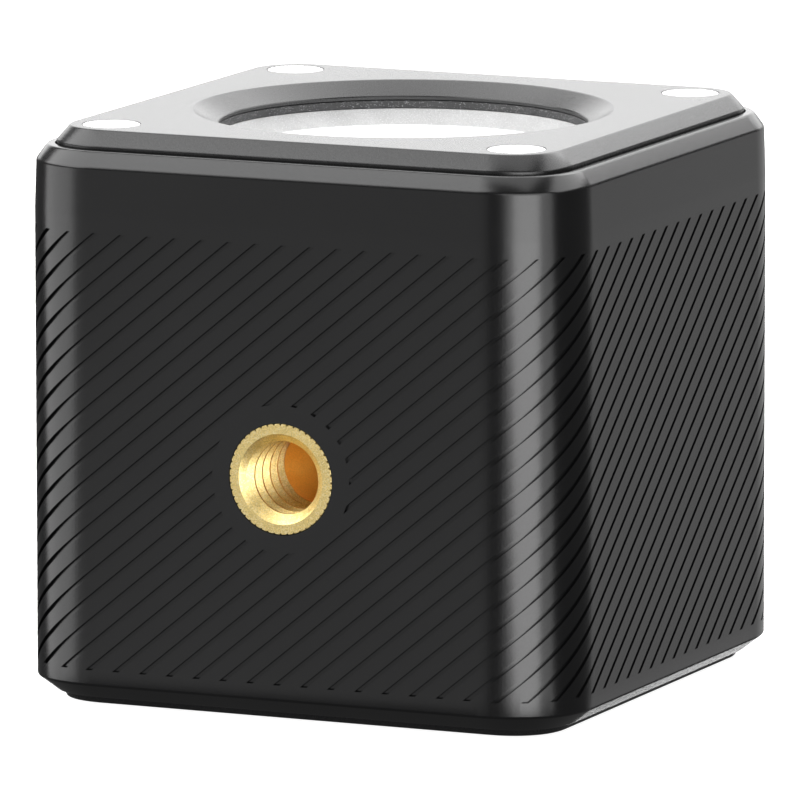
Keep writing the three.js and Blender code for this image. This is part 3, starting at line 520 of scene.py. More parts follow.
def wrapOnto(table, quarter, distance, depth):
    # the point that lies this far round the body and this deep in its surface
    start = table[0][0]
    turns = math.floor((distance - start) / quarter)
    left = distance - turns * quarter
    place = table[-1]
    for a, b in zip(table, table[1:]):
        if left <= b[0]:
            share = (left - a[0]) / (b[0] - a[0])
            place = (left, a[1].lerp(b[1], share), a[2].lerp(b[2], share).normalized())
            break
    return Matrix.Rotation(turns * math.pi / 2, 2) @ (place[1] - place[2] * depth)


def grooveCutters():
    # bars with level ends, laid along slanting lines and wrapped round the body
    table, quarter = perimeterTable()
    size = grooveSize
    run = (size["high"] - size["low"]) / size["rise"]
    bm = bmesh.new()
    for k in range(size["perQuarter"]):
        first = size["first"] + k * size["pitch"]
        stops = {0.0, run}
        for turns in range(3):
            for entry in table:
                stop = entry[0] + turns * quarter - first
                if 0 < stop < run:
                    stops.add(stop)
        sections = []
        for stop in sorted(stops):
            height = size["low"] + stop * size["rise"]
            section = []
            for side, depth in ((-1, size["depth"]), (1, size["depth"]), (1, -overrun), (-1, -overrun)):
                spot = wrapOnto(table, quarter, first + stop + side * size["width"] / 2, depth)
                section.append(Vector((*spot, height)))
            sections.append(section)
        loft(bm, sections)
    bmesh.ops.recalc_face_normals(bm, faces=bm.faces)
    quarterOfAll = bm.verts[:] + bm.edges[:] + bm.faces[:]
    for quarterTurn in range(1, 4):
        copy = bmesh.ops.duplicate(bm, geom=quarterOfAll)["geom"]
        verts = [item for item in copy if isinstance(item, bmesh.types.BMVert)]
        turn = Matrix.Rotation(quarterTurn * math.pi / 2, 3, "Z")
        bmesh.ops.rotate(bm, cent=(0, 0, 0), matrix=turn, verts=verts)
    return bm


def plainIslands():
    # where the grooves stop: round the tripod socket, round the button and its light, and round the port
    half = outlineSize["half"]
    socketZ = middleInMm("tripod_insert").z
    button = middleInMm("power_button")
    pipe = middleInMm("status_light_pipe")
    portLow, portHigh = boxInMm("port_door")
    pinLow, pinHigh = boxInMm("door_hinge_pin")
    room, deep = grooveSize["plainPort"], grooveSize["plainDeep"]
    wide, small = grooveSize["plainRound"], grooveSize["plainPipe"]
    yield rod(0, socketZ, half - deep, half + deep, wide, matrix=towardMinusY)
    yield rod(button.x, -button.z, half - deep, half + deep, wide, matrix=towardPlusY)
    yield rod(pipe.x, -pipe.z, half - deep, half + deep, small, matrix=towardPlusY)
    port = block((-half - deep, portLow.y - room, pinLow.z - room / 2),
                 (-half + deep, portHigh.y + room, pinHigh.z + room / 2))
    yield roundEdges(port, edgesAlong(port, 0, deep), grooveSize["plainCorner"], 6)


def buildSleeve():
    size = sleeveSize
    half = outlineSize["half"]
    low, high = boxInMm("body_sleeve")
    bottom, top = low.z, high.z
    rearWide, rearTall = size["rearChamfer"]
    frontWide, frontTall = size["frontChamfer"]
    draftIn, draftTall = size["draft"]
    shoulder = top - frontTall
    bm = stack([
        (half - rearWide, bottom), (half, bottom + rearTall), (half, shoulder - draftTall),
        (half - draftIn, shoulder), (half - draftIn - frontWide, top)])
    roundEdges(bm, levelEdges(bm, (bottom, bottom + rearTall, shoulder, top)), size["edgeRound"], 3)

    cutters = grooveCutters()
    for island in plainIslands():
        cutters = combine(cutters, island)
    bm = combine(bm, cutters)
    print(f"grooves cut: {len(bm.faces)} faces")

    for hollow, start, end in (("cavityHalf", bottom - overrun, size["webBottom"]),
                               ("coverPocketHalf", bottom - overrun, size["ledge"]),
                               ("bezelPocketHalf", size["webTop"], top + overrun)):
        bm = combine(bm, stack([(size[hollow], start), (size[hollow], end)]))
    bm = combine(bm, rod(0, 0, size["webBottom"] - overrun, size["webTop"] + overrun, size["skirtBore"]))
    for x, y in cornerSigns:
        reach = size["bossReach"]
        boss = rod(x * reach, y * reach, size["ledge"], size["bossTop"], size["bossRadius"], 48)
        bm = combine(bm, boss, "UNION")
        bm = combine(bm, rod(x * reach, y * reach, bottom - overrun, size["bossTop"] + overrun,
                             size["screwHole"], 24))
    bm = cutControls(bm)
    bm = cutPort(bm)
    addPiece("grooved_sleeve", bm, "body_anodised", ["body_sleeve"], smoothAngle=24.0, weighted=True,
             creases=[shoulder - draftTall])


controlCuts = dict(bossRadius=5.25, bossEnd=13.7, bossInset=1.3, insertBore=3.95, buttonBore=3.5,
                   flangeBore=4.85, flangeDepth=0.9, pipeBore=0.85, mouthRound=0.15)


def cutControls(bm):
    # the socket's boss and bore, the button's bore and pocket, and the light's hole
    size = controlCuts
    half = outlineSize["half"]
    socketZ = middleInMm("tripod_insert").z
    button = middleInMm("power_button")
    pipe = middleInMm("status_light_pipe")
    bossTop = half - size["bossInset"]
    boss = rod(0, socketZ, size["bossEnd"], bossTop, size["bossRadius"], matrix=towardMinusY)
    bm = combine(bm, boss, "UNION")
    bm = combine(bm, rod(0, socketZ, size["bossEnd"] - overrun, half + overrun, size["insertBore"],
                         matrix=towardMinusY))
    inside = sleeveSize["cavityHalf"]
    bm = combine(bm, rod(0, -button.z, inside - overrun, half + overrun, size["buttonBore"],
                         matrix=towardPlusY))
    bm = combine(bm, rod(0, -button.z, inside - overrun, inside + size["flangeDepth"], size["flangeBore"],
                         matrix=towardPlusY))
    mouth = size["mouthRound"]
    bm = combine(bm, rod(0, -button.z, half - mouth, half + mouth, size["buttonBore"],
                         topRadius=size["buttonBore"] + 2 * mouth, matrix=towardPlusY))
    return combine(bm, rod(pipe.x, -pipe.z, inside - overrun, half + overrun, size["pipeBore"], 48,
                           matrix=towardPlusY))


portCuts = dict(depth=1.8, height=6.6, freeEnd=6.05, endRoom=1.15, socketGap=0.15, scoopRadius=2.2,
                scoopDepth=0.7, pinGap=0.05, corner=0.5)


def cutPort(bm):
    size = portCuts
    half = outlineSize["half"]
    socketLow, socketHigh = boxInMm("usb_socket")
    pin = middleInMm("door_hinge_pin")
    pinLow, pinHigh = boxInMm("door_hinge_pin")
    middleZ = (socketLow.z + socketHigh.z) / 2
    low, high = middleZ - size["height"] / 2, middleZ + size["height"] / 2
    floorX = -half + size["depth"]
    pocket = block((-half - overrun, -size["freeEnd"], low), (floorX, pin.y + size["endRoom"], high))
    bm = combine(bm, roundEdges(pocket, edgesAlong(pocket, 0, overrun), size["corner"], 4))
    gap = size["socketGap"]
    slot = block((floorX - overrun, socketLow.y - gap, socketLow.z - gap),
                 (-sleeveSize["cavityHalf"] + overrun, socketHigh.y + gap, socketHigh.z + gap))
    bm = combine(bm, slot)
    bm = combine(bm, rod(pin.x, pin.y, pinLow.z - size["pinGap"], pinHigh.z + size["pinGap"],
                         (pinHigh.x - pinLow.x) / 2 + size["pinGap"], 24))
    turnX = Matrix.Rotation(math.radians(90), 4, "Y")
    scoop = rod(-middleZ, -size["freeEnd"], -half - size["scoopDepth"], -half + size["scoopDepth"],
                size["scoopRadius"], 64, matrix=turnX)
    return combine(bm, scoop)


bezelSize = dict(
    half=19.47, thickness=3.2, chamfer=(0.9, 1.06), edgeRound=0.1, skirtRadius=15.1, lensBore=14.0, lip=13.06,
    lipDepth=1.25, coneDepth=0.96, mouth=14.9, mouthRound=0.05, magnetGap=0.02, magnetDepth=2.03,
    magnetChamfer=0.02, screwHole=0.95, screwRoom=0.1)


def buildBezel():
    size = bezelSize
    low, high = boxInMm("front_bezel")
    top, skirtBottom = high.z, low.z
    plateBottom = top - size["thickness"]
    wide, tall = size["chamfer"]
    bm = stack([(size["half"], plateBottom), (size["half"], top - tall), (size["half"] - wide, top)])
    roundEdges(bm, levelEdges(bm, (top - tall, top)), size["edgeRound"], 3)
    skirt = rod(0, 0, skirtBottom, plateBottom + overrun, size["skirtRadius"], 160)
    bm = combine(bm, skirt, "UNION")
    lip, soft = size["lip"], size["mouthRound"]
    bm = combine(bm, turned([
        (0, skirtBottom - overrun), (size["lensBore"], skirtBottom - overrun),
        (size["lensBore"], top - size["lipDepth"]), (lip + soft, top - size["lipDepth"]),
        (lip, top - size["lipDepth"] + soft), (lip, top - size["coneDepth"] - soft),
        (lip + soft, top - size["coneDepth"] + soft / 2), (size["mouth"] - 2 * soft, top - soft),
        (size["mouth"] + soft / 2, top - soft / 4), (size["mouth"] + 2 * soft, top + soft / 4),
        (size["mouth"] + 2 * soft, top + overrun), (0, top + overrun)], 160))
    edge = size["magnetChamfer"]
    for i in range(4):
        middle = middleInMm(f"corner_magnet_{i + 1}")
        magnetLow, magnetHigh = boxInMm(f"corner_magnet_{i + 1}")
        bore = (magnetHigh.x - magnetLow.x) / 2 + size["magnetGap"]
        pocket = turned([
            (0, top - size["magnetDepth"]), (bore, top - size["magnetDepth"]), (bore, top - edge),
            (bore + 2 * edge, top + edge), (bore + 2 * edge, top + overrun), (0, top + overrun)],
            64, Matrix.Translation((middle.x, middle.y, 0)))
        bm = combine(bm, pocket)
        screw = middleInMm(f"bezel_screw_{i + 1}")
        holeTop = boxInMm(f"bezel_screw_{i + 1}")[1].z + size["screwRoom"]
        bm = combine(bm, rod(screw.x, screw.y, plateBottom - overrun, holeTop, size["screwHole"], 24))
    addPiece("bezel_plate", bm, "bezel_anodised", ["front_bezel"], smoothAngle=24.0, weighted=True)


magnetSize = dict(edge=0.12, soften=0.3, flatShare=0.6)


def buildMagnets():
    edge, flat = magnetSize["edge"], magnetSize["flatShare"]
    soft = edge * magnetSize["soften"]
    for i in range(4):
        node = f"corner_magnet_{i + 1}"
        low, high = boxInMm(node)
        middle = (low + high) / 2
        radius = (high.x - low.x) / 2
        disc = turned([
            (0, low.z), (radius - edge, low.z), (radius - soft, low.z + soft), (radius, low.z + edge),
            (radius, high.z - edge), (radius - soft, high.z - soft), (radius - edge, high.z),
            (radius * flat, high.z), (0, high.z)], 96, Matrix.Translation((middle.x, middle.y, 0)))
        addPiece(f"magnet_disc_{i + 1}", disc, "magnet_nickel", [node])


lensSize = dict(rings=16, ringDepth=0.42, clearRadius=11.6, rim=0.06)


def buildLens():
    # flat outside, with the stepped rings toward the emitter
    size = lensSize
    low, high = boxInMm("fresnel_lens")
    radius = high.x
    pitch = size["clearRadius"] / size["rings"]
    rim = size["rim"]
    profile = []
    for ring in range(size["rings"]):
        profile.append((ring * pitch, low.z + (size["ringDepth"] if ring else 0)))
        profile.append(((ring + 1) * pitch - rim, low.z))
    profile += [(radius - rim, low.z), (radius, low.z + rim), (radius, high.z - rim), (radius - rim, high.z),
                (0, high.z)]
    addPiece("stepped_lens", turned(profile, 144), "lens_clear", ["fresnel_lens"], smoothAngle=12.0)


dishSize = dict(steps=6, curve=0.8)


def buildDish():
    # the slope runs from the bezel's lip down to the clear middle of the lens
    low, high = boxInMm("lens_dish")
    inner, lip, outer = lensSize["clearRadius"], bezelSize["lip"], high.x
    profile = [(outer, low.z), (outer, high.z)]
    for i in range(dishSize["steps"] + 1):
        share = i / dishSize["steps"]
        profile.append((lip + (inner - lip) * share, high.z - (high.z - low.z) * share ** dishSize["curve"]))
    addPiece("diffuser_dish", turned(profile, 144), "white_diffuser", ["lens_dish"])


def softRing(node, inner, edge, sides=144):
    low, high = boxInMm(node)
    middle = (low + high) / 2
    outer = (high.x - low.x) / 2
    profile = []
    for radius, height, inward, up in (
            (inner, low.z, 1, 1), (outer, low.z, -1, 1), (outer, high.z, -1, -1), (inner, high.z, 1, -1)):
        across = (radius + inward * edge, height)
        along = (radius, height + up * edge)
        profile += [along, across] if (inward > 0) == (up > 0) else [across, along]
    return turned(profile, sides, Matrix.Translation((middle.x, middle.y, 0)))


ringSize = dict(baffleEdge=0.04, sealWidth=1.3, sealEdge=0.2)


def buildRings():
    baffle = softRing("baffle_ring", bezelSize["lip"], ringSize["baffleEdge"])
    addPiece("dark_baffle", baffle, "baffle_paint", ["baffle_ring"])
    inner = boxInMm("lens_seal")[1].x - ringSize["sealWidth"]
    seal = softRing("lens_seal", inner, ringSize["sealEdge"])
    addPiece("lens_gasket", seal, "black_rubber", ["lens_seal"])


cupSize = dict(throat=5.2, mouth=12.2, wall=0.8, flange=0.9, steps=20)


def buildCup():
    size = cupSize
    low, high = boxInMm("reflector_cup")
    steps = size["steps"]
    inner = []
    outer = []
    for i in range(steps + 1):
        rise = i / steps
        radius = size["throat"] + (size["mouth"] - size["throat"]) * math.sqrt(rise)
        inner.append((radius, low.z + (high.z - low.z) * rise))
        outer.append((radius + size["wall"], low.z + (high.z - size["flange"] - low.z) * rise))
    profile = [*outer, (high.x, high.z - size["flange"]), (high.x, high.z), *reversed(inner)]
    addPiece("reflector_bowl", turned(profile, 96), "mirror_aluminium", ["reflector_cup"])


emitterSize = dict(base=0.45, dam=0.5, damRadius=4.4, corner=0.4, gelGap=0.02)


def buildEmitter():
    size = emitterSize
    low, high = boxInMm("led_emitter")
    base = block(low, (high.x, high.y, low.z + size["base"]))
    roundEdges(base, edgesAlong(base, 2, size["base"] / 2), size["corner"], 4)
    dam, radius, foot = size["dam"], size["damRadius"], low.z + size["base"] / 2
    wall = turned([
        (radius - dam, foot), (radius, foot), (radius, high.z - dam / 2),
        (radius - dam * 0.2, high.z - dam * 0.1), (radius - dam / 2, high.z),
        (radius - dam * 0.8, high.z - dam * 0.1), (radius - dam, high.z - dam / 2)], 72)
    base = combine(base, wall, "UNION")
    addPiece("emitter_base", base, "phosphor", ["led_emitter"], finish="board_white")
    inner, floor = radius - dam - size["gelGap"], low.z + size["base"] + size["gelGap"]
    gel = turned([
        (0, floor), (inner, floor), (inner, high.z - dam * 0.6), (radius * 0.5, high.z - dam * 0.5),
        (0, high.z - dam * 0.45)], 72)
    addPiece("emitter_phosphor", gel, "phosphor")


screwLooks = {
    "rear_screw": dict(count=4, shank=1.0, head=0.9, along=1, slot="black_steel"),
    "bezel_screw": dict(count=4, shank=0.9, head=1.0, along=1, slot="steel"),
    "heat_sink_screw": dict(count=4, shank=0.9, head=1.1, along=1, slot="steel"),
    "led_board_screw": dict(count=2, shank=0.8, head=0.8, along=-1, slot="steel"),
    "driver_board_screw": dict(count=2, shank=0.8, head=0.8, along=1, slot="steel")}
threadLook = dict(pitch=0.45, depth=0.12, socketShare=0.5, socketDepth=0.6, edge=0.14)


def screwShape(radius, headRadius, headHeight, length):
    # head at z = 0 with a hexagon socket, and a rolled thread down the shank
    look = threadLook
    edge = look["edge"]
    profile = [(0, 0), (headRadius - 2 * edge, 0), (headRadius - 0.6 * edge, 0.4 * edge),
               (headRadius, 1.6 * edge), (headRadius, headHeight), (radius - look["depth"], headHeight)]
    turns = int((length - headHeight - look["pitch"]) / look["pitch"])
    for i in range(turns):
        start = headHeight + (i + 0.4) * look["pitch"]
        profile += [(radius - look["depth"], start), (radius, start + 0.35 * look["pitch"]),
                    (radius, start + 0.5 * look["pitch"])]
    profile += [(radius - look["depth"], length - look["pitch"] / 2), (radius * 0.6, length), (0, length)]
    bm = turned(profile, 48)
    socket = rod(0, 0, -overrun, headHeight * look["socketDepth"], headRadius * look["socketShare"], 6)
    return combine(bm, socket)


def buildScrews():
    for family, look in screwLooks.items():
        for i in range(look["count"]):
            node = f"{family}_{i + 1}"
            low, high = boxInMm(node)
            middle = (low + high) / 2
            bm = screwShape(look["shank"], (high.x - low.x) / 2, look["head"], high.z - low.z)
            start = low.z if look["along"] > 0 else high.z
            flip = upright if look["along"] > 0 else Matrix.Rotation(math.pi, 4, "X")
            seat(bm, middle.x, middle.y, start, flip)
            addPiece(f"{family}_threaded_{i + 1}", bm, look["slot"], [node])


insertSize = dict(boreRadius=2.6, boreDepth=6.2, mouth=3.2, notches=48, notchSteps=6, notchDepth=0.13,
                  drillPoint=0.25, threadPitch=1.27, threadDepth=0.56, threadWidth=1.1, threadFlat=0.12,
                  threadReach=0.05, threadStart=0.1, threadSteps=60, backEdge=0.3, rimEdge=0.02,
                  mouthSoft=0.04, notchReach=0.1)


def threadCutter():
    # the groove of the quarter inch thread, wound down the bore
    size = insertSize
    radius = size["boreRadius"]
    turns = (size["boreDepth"] - size["threadStart"]) / size["threadPitch"]
    steps = int(turns * size["threadSteps"])
    deep = radius + size["threadDepth"]
    shallow = radius - size["threadReach"]
    wide = size["threadWidth"] / 2
    flat = size["threadFlat"] / 2
    wide += (wide - flat) * size["threadReach"] / size["threadDepth"]
    section = [(shallow, wide), (deep, flat), (deep, -flat), (shallow, -wide)]
    sections = []
    for i in range(steps + 1):
        angle = -math.tau * i / size["threadSteps"]
        drop = size["threadStart"] + size["threadPitch"] * i / size["threadSteps"]
        sections.append([Vector((r * math.cos(angle), r * math.sin(angle), z - drop)) for r, z in section])
    bm = bmesh.new()
    loft(bm, sections)
    return tidyNormals(bm)


def buildInsert():
    size = insertSize
    low, high = boxInMm("tripod_insert")
    middle = (low + high) / 2
    radius = (high.x - low.x) / 2
    length = high.y - low.y
    bore, depth = size["boreRadius"], size["boreDepth"]
    mouth = size["mouth"]
    back, rim, soft = size["backEdge"], size["rimEdge"], size["mouthSoft"]
    profile = [
        (0, -length), (radius - back, -length), (radius, -length + back), (radius, -rim), (radius - rim, 0),
        (mouth, 0), (mouth - soft, -soft * 0.75), (bore, bore - mouth), (bore, -depth),
        (0, -depth - size["drillPoint"])]
    perNotch = size["notchSteps"]
    steps = size["notches"] * perNotch
    bm = turned(profile, steps)
    for vert in bm.verts:
        reach = vert.co.xy.length
        turn = round(math.atan2(vert.co.y, vert.co.x) / math.tau * steps) % perNotch
        if reach > radius - size["notchReach"] and turn == 0:
            vert.co.xy *= (radius - size["notchDepth"]) / reach
    bm = combine(bm, threadCutter())
    seat(bm, middle.x, low.y, middle.z, towardMinusY)
    insert = addPiece("threaded_insert", bm, "brass", ["tripod_insert"], smoothAngle=28.0)

    # the floor of the bore has its own finish, painted deep orange for the warm light that bounces round
    # inside the brass bore
    insert.data.materials.append(finishes["painted_bounce_orange"])
    floorStart = low.y + depth - size["drillPoint"]
    for face in insert.data.polygons:
        spot = face.center / mm
        inBore = (spot.xz - middle.xz).length < bore
        if inBore and floorStart < spot.y < high.y - size["notchReach"]:
            face.material_index = 1


buttonSize = dict(capRadius=3.4, flange=0.55, edge=0.28, edgeShare=0.3, dish=0.12, dishInset=0.3, dishSteps=8,
                  markRadius=1.15, markWidth=0.26, markDepth=0.1, markGap=62.0, barHalf=0.75,
                  plungerEdge=0.25)


def ringCutter(radius, width, depth, gap, top):
    # an open ring, with the gap centred on +Y
    steps = 48
    start, end = 90 + gap / 2, 450 - gap / 2
    sections = []
    for i in range(steps + 1):
        angle = math.radians(start + (end - start) * i / steps)
        around = Vector((math.cos(angle), math.sin(angle), 0))
        sections.append([around * r + Vector((0, 0, z)) for r, z in (
            (radius - width / 2, top - depth), (radius + width / 2, top - depth),
            (radius + width / 2, top + overrun), (radius - width / 2, top + overrun))])
    bm = bmesh.new()
    loft(bm, sections)
    return tidyNormals(bm)


def buildButton():
    size = buttonSize
    low, high = boxInMm("power_button")
    middle = (low + high) / 2
    flangeRadius = (high.x - low.x) / 2
    tall = high.y - low.y
    cap, edge, flange = size["capRadius"], size["edge"], size["flange"]
    soft = edge * size["edgeShare"]
    profile = [(0, 0), (flangeRadius, 0), (flangeRadius, flange), (cap, flange), (cap, tall - edge),
               (cap - soft, tall - soft), (cap - edge, tall)]
    steps = size["dishSteps"]
    hollow = cap - edge - size["dishInset"]
    for i in range(steps + 1):
        across = 1 - i / steps
        profile.append((hollow * across, tall - size["dish"] * math.cos(across * math.pi / 2)))
    bm = turned(profile, 96)
    mark, deep = size["markWidth"], size["markDepth"] + size["dish"]
    bm = combine(bm, ringCutter(size["markRadius"], mark, deep, size["markGap"], tall))
    floor = tall - deep
    bm = combine(bm, block((-mark / 2, size["markRadius"] - size["barHalf"], floor),
                           (mark / 2, size["markRadius"] + size["barHalf"] / 2, tall + overrun)))
    # the mark's gap points to the light's front
    seat(bm, middle.x, low.y, middle.z, towardPlusY @ Matrix.Rotation(math.pi, 4, "Z"))
    addPiece("button_cap", bm, "black_plastic", ["power_button"], body="power_button", finish="soft_black")

    low, high = boxInMm("switch_plunger")
    middle = (low + high) / 2
    radius, tall, edge = (high.x - low.x) / 2, high.y - low.y, size["plungerEdge"]
    bm = turned([(0, 0), (radius - edge, 0), (radius, edge), (radius, tall), (0, tall)], 48)
    seat(bm, middle.x, low.y, middle.z, towardPlusY)
    addPiece("plunger_pin", bm, "white_plastic", ["switch_plunger"], body="power_button")


sealSize = dict(bore=3.5, steps=8)


def buildButtonSeal():
    low, high = boxInMm("button_seal")
    middle = (low + high) / 2
    inner, outer, tall = sealSize["bore"], (high.x - low.x) / 2, high.y - low.y
    soft = tall / 2
    profile = []
    for i in range(sealSize["steps"] + 1):
        angle = math.pi * (i / sealSize["steps"] - 0.5)
        profile.append((outer - soft + soft * math.cos(angle), soft + soft * math.sin(angle)))
    profile += [(inner, tall), (inner, 0)]
    bm = seat(turned(profile, 96), middle.x, low.y, middle.z, towardPlusY)
    addPiece("button_gasket", bm, "black_rubber", ["button_seal"])


pipeSize = dict(radius=0.8, flange=0.8, flangeGap=0.05, dome=0.35, domeSteps=6)


def buildLightPipe():
    low, high = boxInMm("status_light_pipe")
    middle = (low + high) / 2
    radius, flangeRadius, tall = pipeSize["radius"], (high.x - low.x) / 2, high.y - low.y
    flangeTop = sleeveSize["cavityHalf"] - pipeSize["flangeGap"] - low.y
    flangeFoot = flangeTop - pipeSize["flange"]
    profile = [(0, 0), (radius, 0), (radius, flangeFoot), (flangeRadius, flangeFoot),
               (flangeRadius, flangeTop), (radius, flangeTop)]
    dome, steps = pipeSize["dome"], pipeSize["domeSteps"]
    for i in range(steps + 1):
        angle = math.pi / 2 * i / steps
        profile.append((radius * math.cos(angle), tall - dome + dome * math.sin(angle)))
    bm = seat(turned(profile, 48), middle.x, low.y, middle.z, towardPlusY)
    addPiece("light_pipe_lens", bm, "clear_plastic", ["status_light_pipe"])


doorSize = dict(thick=1.1, barrel=0.75, barrelInset=0.01, pinBore=0.45, edge=0.25, gripCount=4, gripPitch=0.5,
                gripWidth=0.22, gripDepth=0.12, gripMargin=1.2, sealWall=0.6, sealEdge=0.12)


def buildDoor():
    size = doorSize
    low, high = boxInMm("port_door")
    pin = middleInMm("door_hinge_pin")
    plateEnd = pin.y - size["barrel"]
    plate = block((low.x, low.y, low.z), (low.x + size["thick"], plateEnd, high.z))
    outer = [e for e in plate.edges if abs(sum(v.co.x for v in e.verts) / 2 - low.x) < 1e-3
             or abs(sum(v.co.y for v in e.verts) / 2 - low.y) < 1e-3]
    roundEdges(plate, outer, size["edge"], 4)
    inset, margin = size["barrelInset"], size["gripMargin"]
    web = block((low.x, plateEnd - size["barrel"], low.z + inset), (pin.x, pin.y, high.z - inset))
    bm = combine(plate, web, "UNION")
    bm = combine(bm, rod(pin.x, pin.y, low.z, high.z, size["barrel"], 64), "UNION")
    bm = combine(bm, rod(pin.x, pin.y, low.z - overrun, high.z + overrun, size["pinBore"], 48))
    for i in range(size["gripCount"]):
        y = low.y + size["edge"] + (i + 1) * size["gripPitch"]
        bm = combine(bm, block((low.x - overrun, y, low.z + margin),
                               (low.x + size["gripDepth"], y + size["gripWidth"], high.z - margin)))
    addPiece("port_flap", bm, "black_rubber", ["port_door"], body="port_door", finish="soft_black")

    low, high = boxInMm("door_seal")
    wall = size["sealWall"]
    inside = block((low.x - overrun, low.y + wall, low.z + wall),
                   (high.x + overrun, high.y - wall, high.z - wall))
    bm = combine(block(low, high), inside)
    roundEdges(bm, sharpEdges(bm), size["sealEdge"])
    addPiece("flap_seal", bm, "black_rubber", ["door_seal"], body="port_door")


shellSize = dict(wall=0.3, cornerShare=0.46, tongueInset=1.1, tongueMargin=0.9, tongueTall=0.7,
                 tongueGap=0.05, tongueEdge=0.12, contacts=6, contactWidth=0.35, contactPitch=0.75,
                 contactStart=0.5, contactLift=0.03, contactHalf=0.02)


def ovalBar(x0, x1, halfY, halfZ, middleZ, corner):
    bar = block((x0, -halfY, middleZ - halfZ), (x1, halfY, middleZ + halfZ))
    return roundEdges(bar, edgesAlong(bar, 0, abs(x1 - x0) / 2), corner, 10)


def buildSocket():
    size = shellSize
    low, high = boxInMm("usb_socket")
    middleZ = (low.z + high.z) / 2
    halfY, halfZ, wall = (high.y - low.y) / 2, (high.z - low.z) / 2, size["wall"]
    corner = (high.z - low.z) * size["cornerShare"]
    bm = ovalBar(low.x, high.x, halfY, halfZ, middleZ, corner)
    bm = combine(bm, ovalBar(low.x - overrun, high.x - wall, halfY - wall, halfZ - wall, middleZ,
                             corner - wall))
    addPiece("socket_shell", bm, "steel", ["usb_socket"])
    tall = size["tongueTall"] / 2
    tongueY = halfY - size["tongueMargin"]
    tongue = block((low.x + size["tongueInset"], -tongueY, middleZ - tall),
                   (high.x - wall - size["tongueGap"], tongueY, middleZ + tall))
    roundEdges(tongue, sharpEdges(tongue), size["tongueEdge"])
    addPiece("socket_tongue", tongue, "steel", finish="black_plastic")
    strips = []
    start = low.x + size["tongueInset"] + size["contactStart"]
    wide, flat = size["contactWidth"] / 2, size["contactHalf"]
    for i in range(size["contacts"]):
        y = (i - (size["contacts"] - 1) / 2) * size["contactPitch"]
        for side in (-1, 1):
            z = middleZ + side * (tall + size["contactLift"])
            strips.append(block((start, y - wide, z - flat), (high.x - 2 * wall, y + wide, z + flat)))
    addPiece("socket_contacts", joined(strips), "steel", finish="contact_gold")


pinSize = dict(edge=0.08)


def buildHingePin():
    low, high = boxInMm("door_hinge_pin")
    middle = (low + high) / 2
    radius, edge = (high.x - low.x) / 2, pinSize["edge"]
    profile = [(0, low.z), (radius - edge, low.z), (radius, low.z + edge), (radius, high.z - edge),
               (radius - edge, high.z), (0, high.z)]
    bm = turned(profile, 32, Matrix.Translation((middle.x, middle.y, 0)))
    addPiece("hinge_rod", bm, "steel", ["door_hinge_pin"])


coverSize = dict(half=19.2, chamfer=(0.22, 0.45), edgeRound=0.08, screwBore=1.05, headBore=1.95,
                 headDepth=1.1, sinkEdge=0.15)


def buildCover():
    size = coverSize
    low, high = boxInMm("rear_cover")
    wide, tall = size["chamfer"]
    bm = stack([(size["half"] - wide, low.z), (size["half"], low.z + tall), (size["half"], high.z)])
    roundEdges(bm, levelEdges(bm, (low.z, low.z + tall)), size["edgeRound"], 3)
    edge = size["sinkEdge"]
    for i in range(4):
        middle = middleInMm(f"rear_screw_{i + 1}")
        sink = turned([
            (0, low.z - overrun), (size["headBore"] + 2 * edge, low.z - overrun),
            (size["headBore"] + 2 * edge, low.z - edge), (size["headBore"], low.z + edge),
            (size["headBore"], size["headDepth"]), (size["screwBore"], size["headDepth"]),
            (size["screwBore"], high.z + overrun), (0, high.z + overrun)],
            64, Matrix.Translation((middle.x, middle.y, 0)))
        bm = combine(bm, sink)
    addPiece("back_cover", bm, "bezel_anodised", ["rear_cover"], smoothAngle=24.0, weighted=True)


# angles in degrees, lens and sensor in mm, and the rest in mm
viewSize = dict(azimuth=24.131, elevation=9.314, roll=-0.066, distance=870.5, aimHeight=19.75, side=-0.265,
                lens=551.2, sensor=36.0, farthest=10000.0)


def addCamera():
    size = viewSize
    azimuth, elevation = math.radians(size["azimuth"]), math.radians(size["elevation"])
    back = Vector((math.sin(azimuth) * math.cos(elevation), -math.cos(azimuth) * math.cos(elevation),
                   math.sin(elevation)))
    right = Vector((math.cos(azimuth), math.sin(azimuth), 0))
    camera = bpy.data.objects.new("camera", bpy.data.cameras.new("camera"))
    bpy.context.scene.collection.objects.link(camera)
    camera.data.lens = size["lens"]
    camera.data.sensor_width = size["sensor"]
    camera.data.clip_end = size["farthest"] * mm
    place = (Vector((0, 0, size["aimHeight"])) + right * size["side"] + back * size["distance"]) * mm
    roll = Matrix.Rotation(math.radians(size["roll"]), 3, "Z")
    turn = Matrix((right, back.cross(right), back)).transposed() @ roll
    camera.matrix_world = Matrix.Translation(place) @ turn.to_4x4()
    bpy.context.scene.camera = camera


studio = dict(
    skyShown=1.0,
    skyLight=0.1,
    distance=1.0,
    aimHeight=20.0,
    floorGlow=0.9,
    floorShade=0.5,
    floorRoughness=0.9,
    floorHalf=1.5,
    floorGap=0.05,
    panels=dict(
        # azimuth and elevation in degrees, width and height in metres, and brightness
        key=(44, -9, 1.4, 0.4, 2.0),
        keyCore=(38, -9, 0.7, 0.4, 4.0),
        front=(-25, -9, 0.5, 0.4, 0.5),
        keyUpper=(40, 16, 1.4, 0.4, 2.5),
        left=(-65, -9, 0.9, 0.4, 2.5),
        leftUpper=(-65, 40, 1.2, 0.8, 4.0),
        right=(170, -9, 0.7, 0.4, 0.5),
        rightUpper=(130, 40, 1.4, 0.5, 3.0),
        back=(200, 16, 1.4, 0.4, 2.2),
        backLow=(205, -9, 0.4, 0.4, 3.0),
        backUpper=(190, 45, 1.0, 0.6, 3.0),
        above=(0, 90, 1.0, 1.0, 2.0)))


